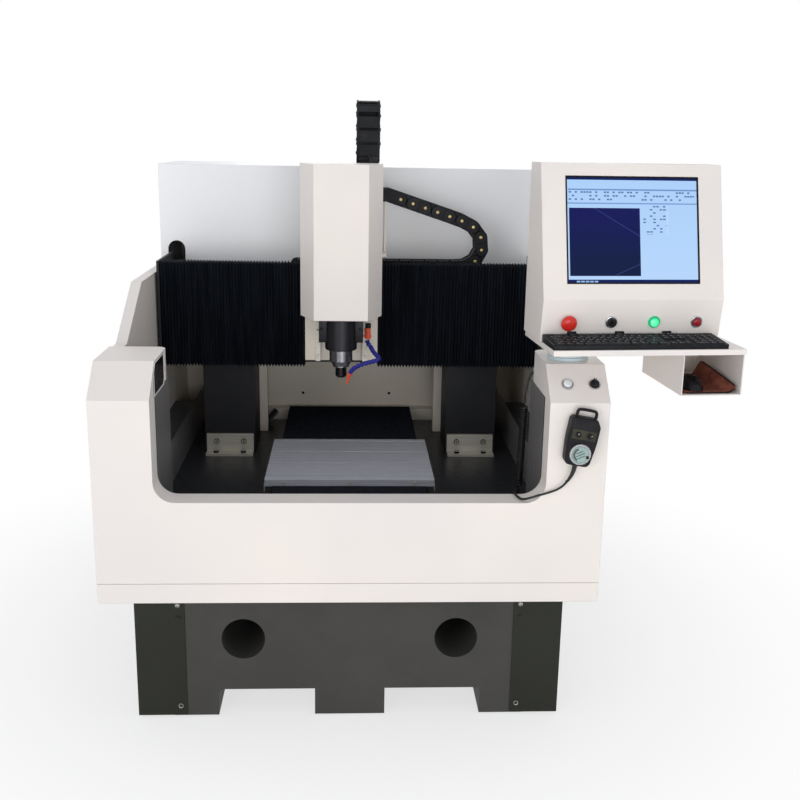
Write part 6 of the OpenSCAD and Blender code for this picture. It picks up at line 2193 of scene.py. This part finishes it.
@dataclass
class LampWindow:
    """Work lamp behind near-black glass in the left pillar's inner wall; the glass's darkness is
    painted shade of the recess.

    The outline and the wall are in millimetres of the CAD source, the rest in metres.
    """

    wall: float = -490.0
    outline: Outline = (
        (64, 909), (64, 971), (84, 992.5), (212, 992.5), (212, 925), (196, 909))
    lip: float = 0.0035
    frame_t: float = 0.0022
    glass_t: float = 0.0012

    def build(self) -> None:
        """Models the frame and its glass."""
        outline = [((y - FRONT_TO_MIDDLE) / 1000, z / 1000) for y, z in self.outline]
        ring, glass = (Piece.tower(outline, [(0.0, 1), (high, 1)])
                       for high in (self.frame_t, self.glass_t))
        with ring.editing():
            ring.pick(Pick.FACE, lambda c, n: abs(n.z) > 0.9)
            bpy.ops.mesh.inset(thickness=self.lip, depth=0)
            bpy.ops.mesh.bridge_edge_loops()
        at_wall = shift(self.wall / 1000, 0, 0) @ SIDEWAYS
        ring.bevel(0.0005, 2).moved(at_wall).done("lamp_frame", "machine", "ivory_paint")
        # The near-black glass closes the opening: painted shade of the recess.
        glass.moved(at_wall).done("painted_shade_glass", "machine", "black_sheet", finish="painted_shade_glass")


@dataclass
class CableSlot:
    """Rubber edging of the cable slot in the hood's front. Metres."""

    middle: float = -0.5875
    radius: float = 0.0255
    top: float = 1.193
    foot: float = 1.120
    wall: float = 0.3345
    edging_r: float = 0.0032

    def build(self) -> None:
        """Draws the edging: up one side, round the top and down the other."""
        high = self.top - self.radius
        side, rise = self.radius, high - self.foot
        line = [(self.middle - side, self.foot + rise * step / 3) for step in range(3)]
        line += arc(side, 180, 0, 12, (self.middle, high))
        line += [(self.middle + side, high - rise * step / 3) for step in range(1, 4)]
        edging = Piece.rod([Vector((x, self.wall, z)) for x, z in line], self.edging_r, steps=3)
        edging.done("slot_edging", "machine", "grey_paint", 50.0, finish="seal_rubber")


@dataclass
class Studio:
    """Camera, lamps, pale floor and white surroundings."""

    lens: float = 46.755
    sensor: float = 36.0
    place: Triple = (-0.007, -3.211, 1.544)
    yaw: float = 2.91
    pitch: float = 14.19
    roll: float = 1.02
    aim: Triple = (0.0, 0.0, 0.9)
    ambient: float = 0.66
    near_share: float = 0.68
    fade: tuple[float, float] = (0.8, 1.9)
    lamps: Sequence[tuple[str, Triple, float, float]] = field(default_factory=lambda: [
        ("lamp_key", (-2.8, -5.3, 1.7), 2.4, 56.0),
        ("lamp_fill", (0.9, -5.8, 0.95), 2.0, 62.0),
        ("lamp_top", (0.0, 0.2, 4.6), 3.5, 8.0),
        ("lamp_rear", (0.5, 4.6, 3.2), 3.0, 30.0),
    ])

    def camera(self) -> None:
        """Puts the camera where the photograph was taken from."""
        data = bpy.data.cameras.new("camera")
        data.lens = self.lens
        data.sensor_width = self.sensor
        camera = bpy.data.objects.new("camera", data)
        bpy.context.scene.collection.objects.link(camera)
        yaw, pitch, roll = (math.radians(a) for a in (self.yaw, self.pitch, self.roll))
        level = Vector((math.sin(yaw), math.cos(yaw), 0.0))
        ahead = level * math.cos(pitch) - Vector((0.0, 0.0, math.sin(pitch)))
        right = Vector((math.cos(yaw), -math.sin(yaw), 0.0))
        up = right.cross(ahead)
        tilted = right * math.cos(roll) + up * math.sin(roll)
        upright = up * math.cos(roll) - right * math.sin(roll)
        turned = Matrix((tilted, upright, -ahead)).transposed().to_4x4()
        camera.matrix_world = Matrix.Translation(self.place) @ turned
        bpy.context.scene.camera = camera

    def light(self) -> None:
        """Hangs the soft lamps."""
        for name, place, size, power in self.lamps:
            data = bpy.data.lights.new(name, "AREA")
            data.shape = "SQUARE"
            data.size = size
            data.energy = power
            lamp = bpy.data.objects.new(name, data)
            bpy.context.scene.collection.objects.link(lamp)
            lamp.location = place
            toward = Vector(self.aim) - Vector(place)
            lamp.rotation_euler = toward.to_track_quat("-Z", "Y").to_euler()

    def surroundings(self) -> None:
        """Makes what the eye and mirrors see white, and the light on the object a soft grey."""
        world = bpy.data.worlds.new("surroundings")
        bpy.context.scene.world = world
        world.use_nodes = True
        nodes, links = world.node_tree.nodes, world.node_tree.links
        nodes.clear()
        path = nodes.new("ShaderNodeLightPath")
        seen = None
        for ray in ("Is Camera Ray", "Is Glossy Ray", "Is Transmission Ray"):
            if seen is None:
                seen = path.outputs[ray]
                continue
            most = nodes.new("ShaderNodeMath")
            most.operation = "MAXIMUM"
            links.new(seen, most.inputs[0])
            links.new(path.outputs[ray], most.inputs[1])
            seen = most.outputs[0]
        ambient, white = nodes.new("ShaderNodeBackground"), nodes.new("ShaderNodeBackground")
        ambient.inputs["Color"].default_value = (0.94, 0.96, 1.0, 1)
        ambient.inputs["Strength"].default_value = self.ambient
        white.inputs["Color"].default_value = (1, 1, 1, 1)
        mix, output = nodes.new("ShaderNodeMixShader"), nodes.new("ShaderNodeOutputWorld")
        links.new(seen, mix.inputs[0])
        links.new(ambient.outputs[0], mix.inputs[1])
        links.new(white.outputs[0], mix.inputs[2])
        links.new(mix.outputs[0], output.inputs[0])

    def floor(self) -> None:
        """Lays a pale floor that keeps a shadow near the object and fades into white round it."""
        g = Graph("floor_paint")
        at = g.place()
        tone = g.mix(g.noise(at, 3.0, 2.0), srgb(252, 252, 252), srgb(249, 249, 250))
        paint = g.node("ShaderNodeBsdfDiffuse", None, {"Color": tone})
        white = g.node("ShaderNodeEmission", None, {"Color": (1, 1, 1), "Strength": 1.0})
        away = g.vector("LENGTH", at, value=True)
        path = g.node("ShaderNodeLightPath").outputs
        seen = (Sock(g, path["Is Camera Ray"]) + Sock(g, path["Is Glossy Ray"])
                + Sock(g, path["Is Transmission Ray"])).clip()
        low, high = self.fade
        share = seen * (away.smooth(low, high) * (1 - self.near_share) + self.near_share)
        mix = g.node("ShaderNodeMixShader", None, {
            0: share, 1: Sock(g, paint.outputs[0]), 2: Sock(g, white.outputs[0])})
        output = g.node("ShaderNodeOutputMaterial")
        g.tree.links.new(mix.outputs[0], output.inputs[0])
        bpy.ops.object.select_all(action="DESELECT")
        bpy.ops.mesh.primitive_plane_add(size=60, location=(0, 0, -0.0005))
        ground = Piece(bpy.context.object).painted(g.material).obj
        ground.name = "floor"

    def build(self) -> None:
        """Builds all of it."""
        self.camera()
        self.light()
        self.surroundings()
        self.floor()
        bpy.context.scene.view_settings.view_transform = "Standard"


def main() -> None:
    """Builds the studio, dresses the frame and models the pieces."""
    logging.basicConfig(level=logging.INFO, format="%(name)s: %(message)s")
    bpy.ops.object.select_all(action="DESELECT")
    Studio().build()
    Piece.finishes = all_finishes()
    dress_frame(Piece.finishes)
    Cord().build()
    for part in (*folding_covers(), *cable_chains()):
        part.build()
    console = Console()
    console.build()
    Keyboard().build(console.frame())
    MousePlace().build(console.frame())
    Controls().build(console.strip())
    for part in (Pendant(), CoolantLine(), SpindleBlock(), Fasteners(), LampWindow(), CableSlot()):
        part.build()


if __name__ == "__main__":
    main()
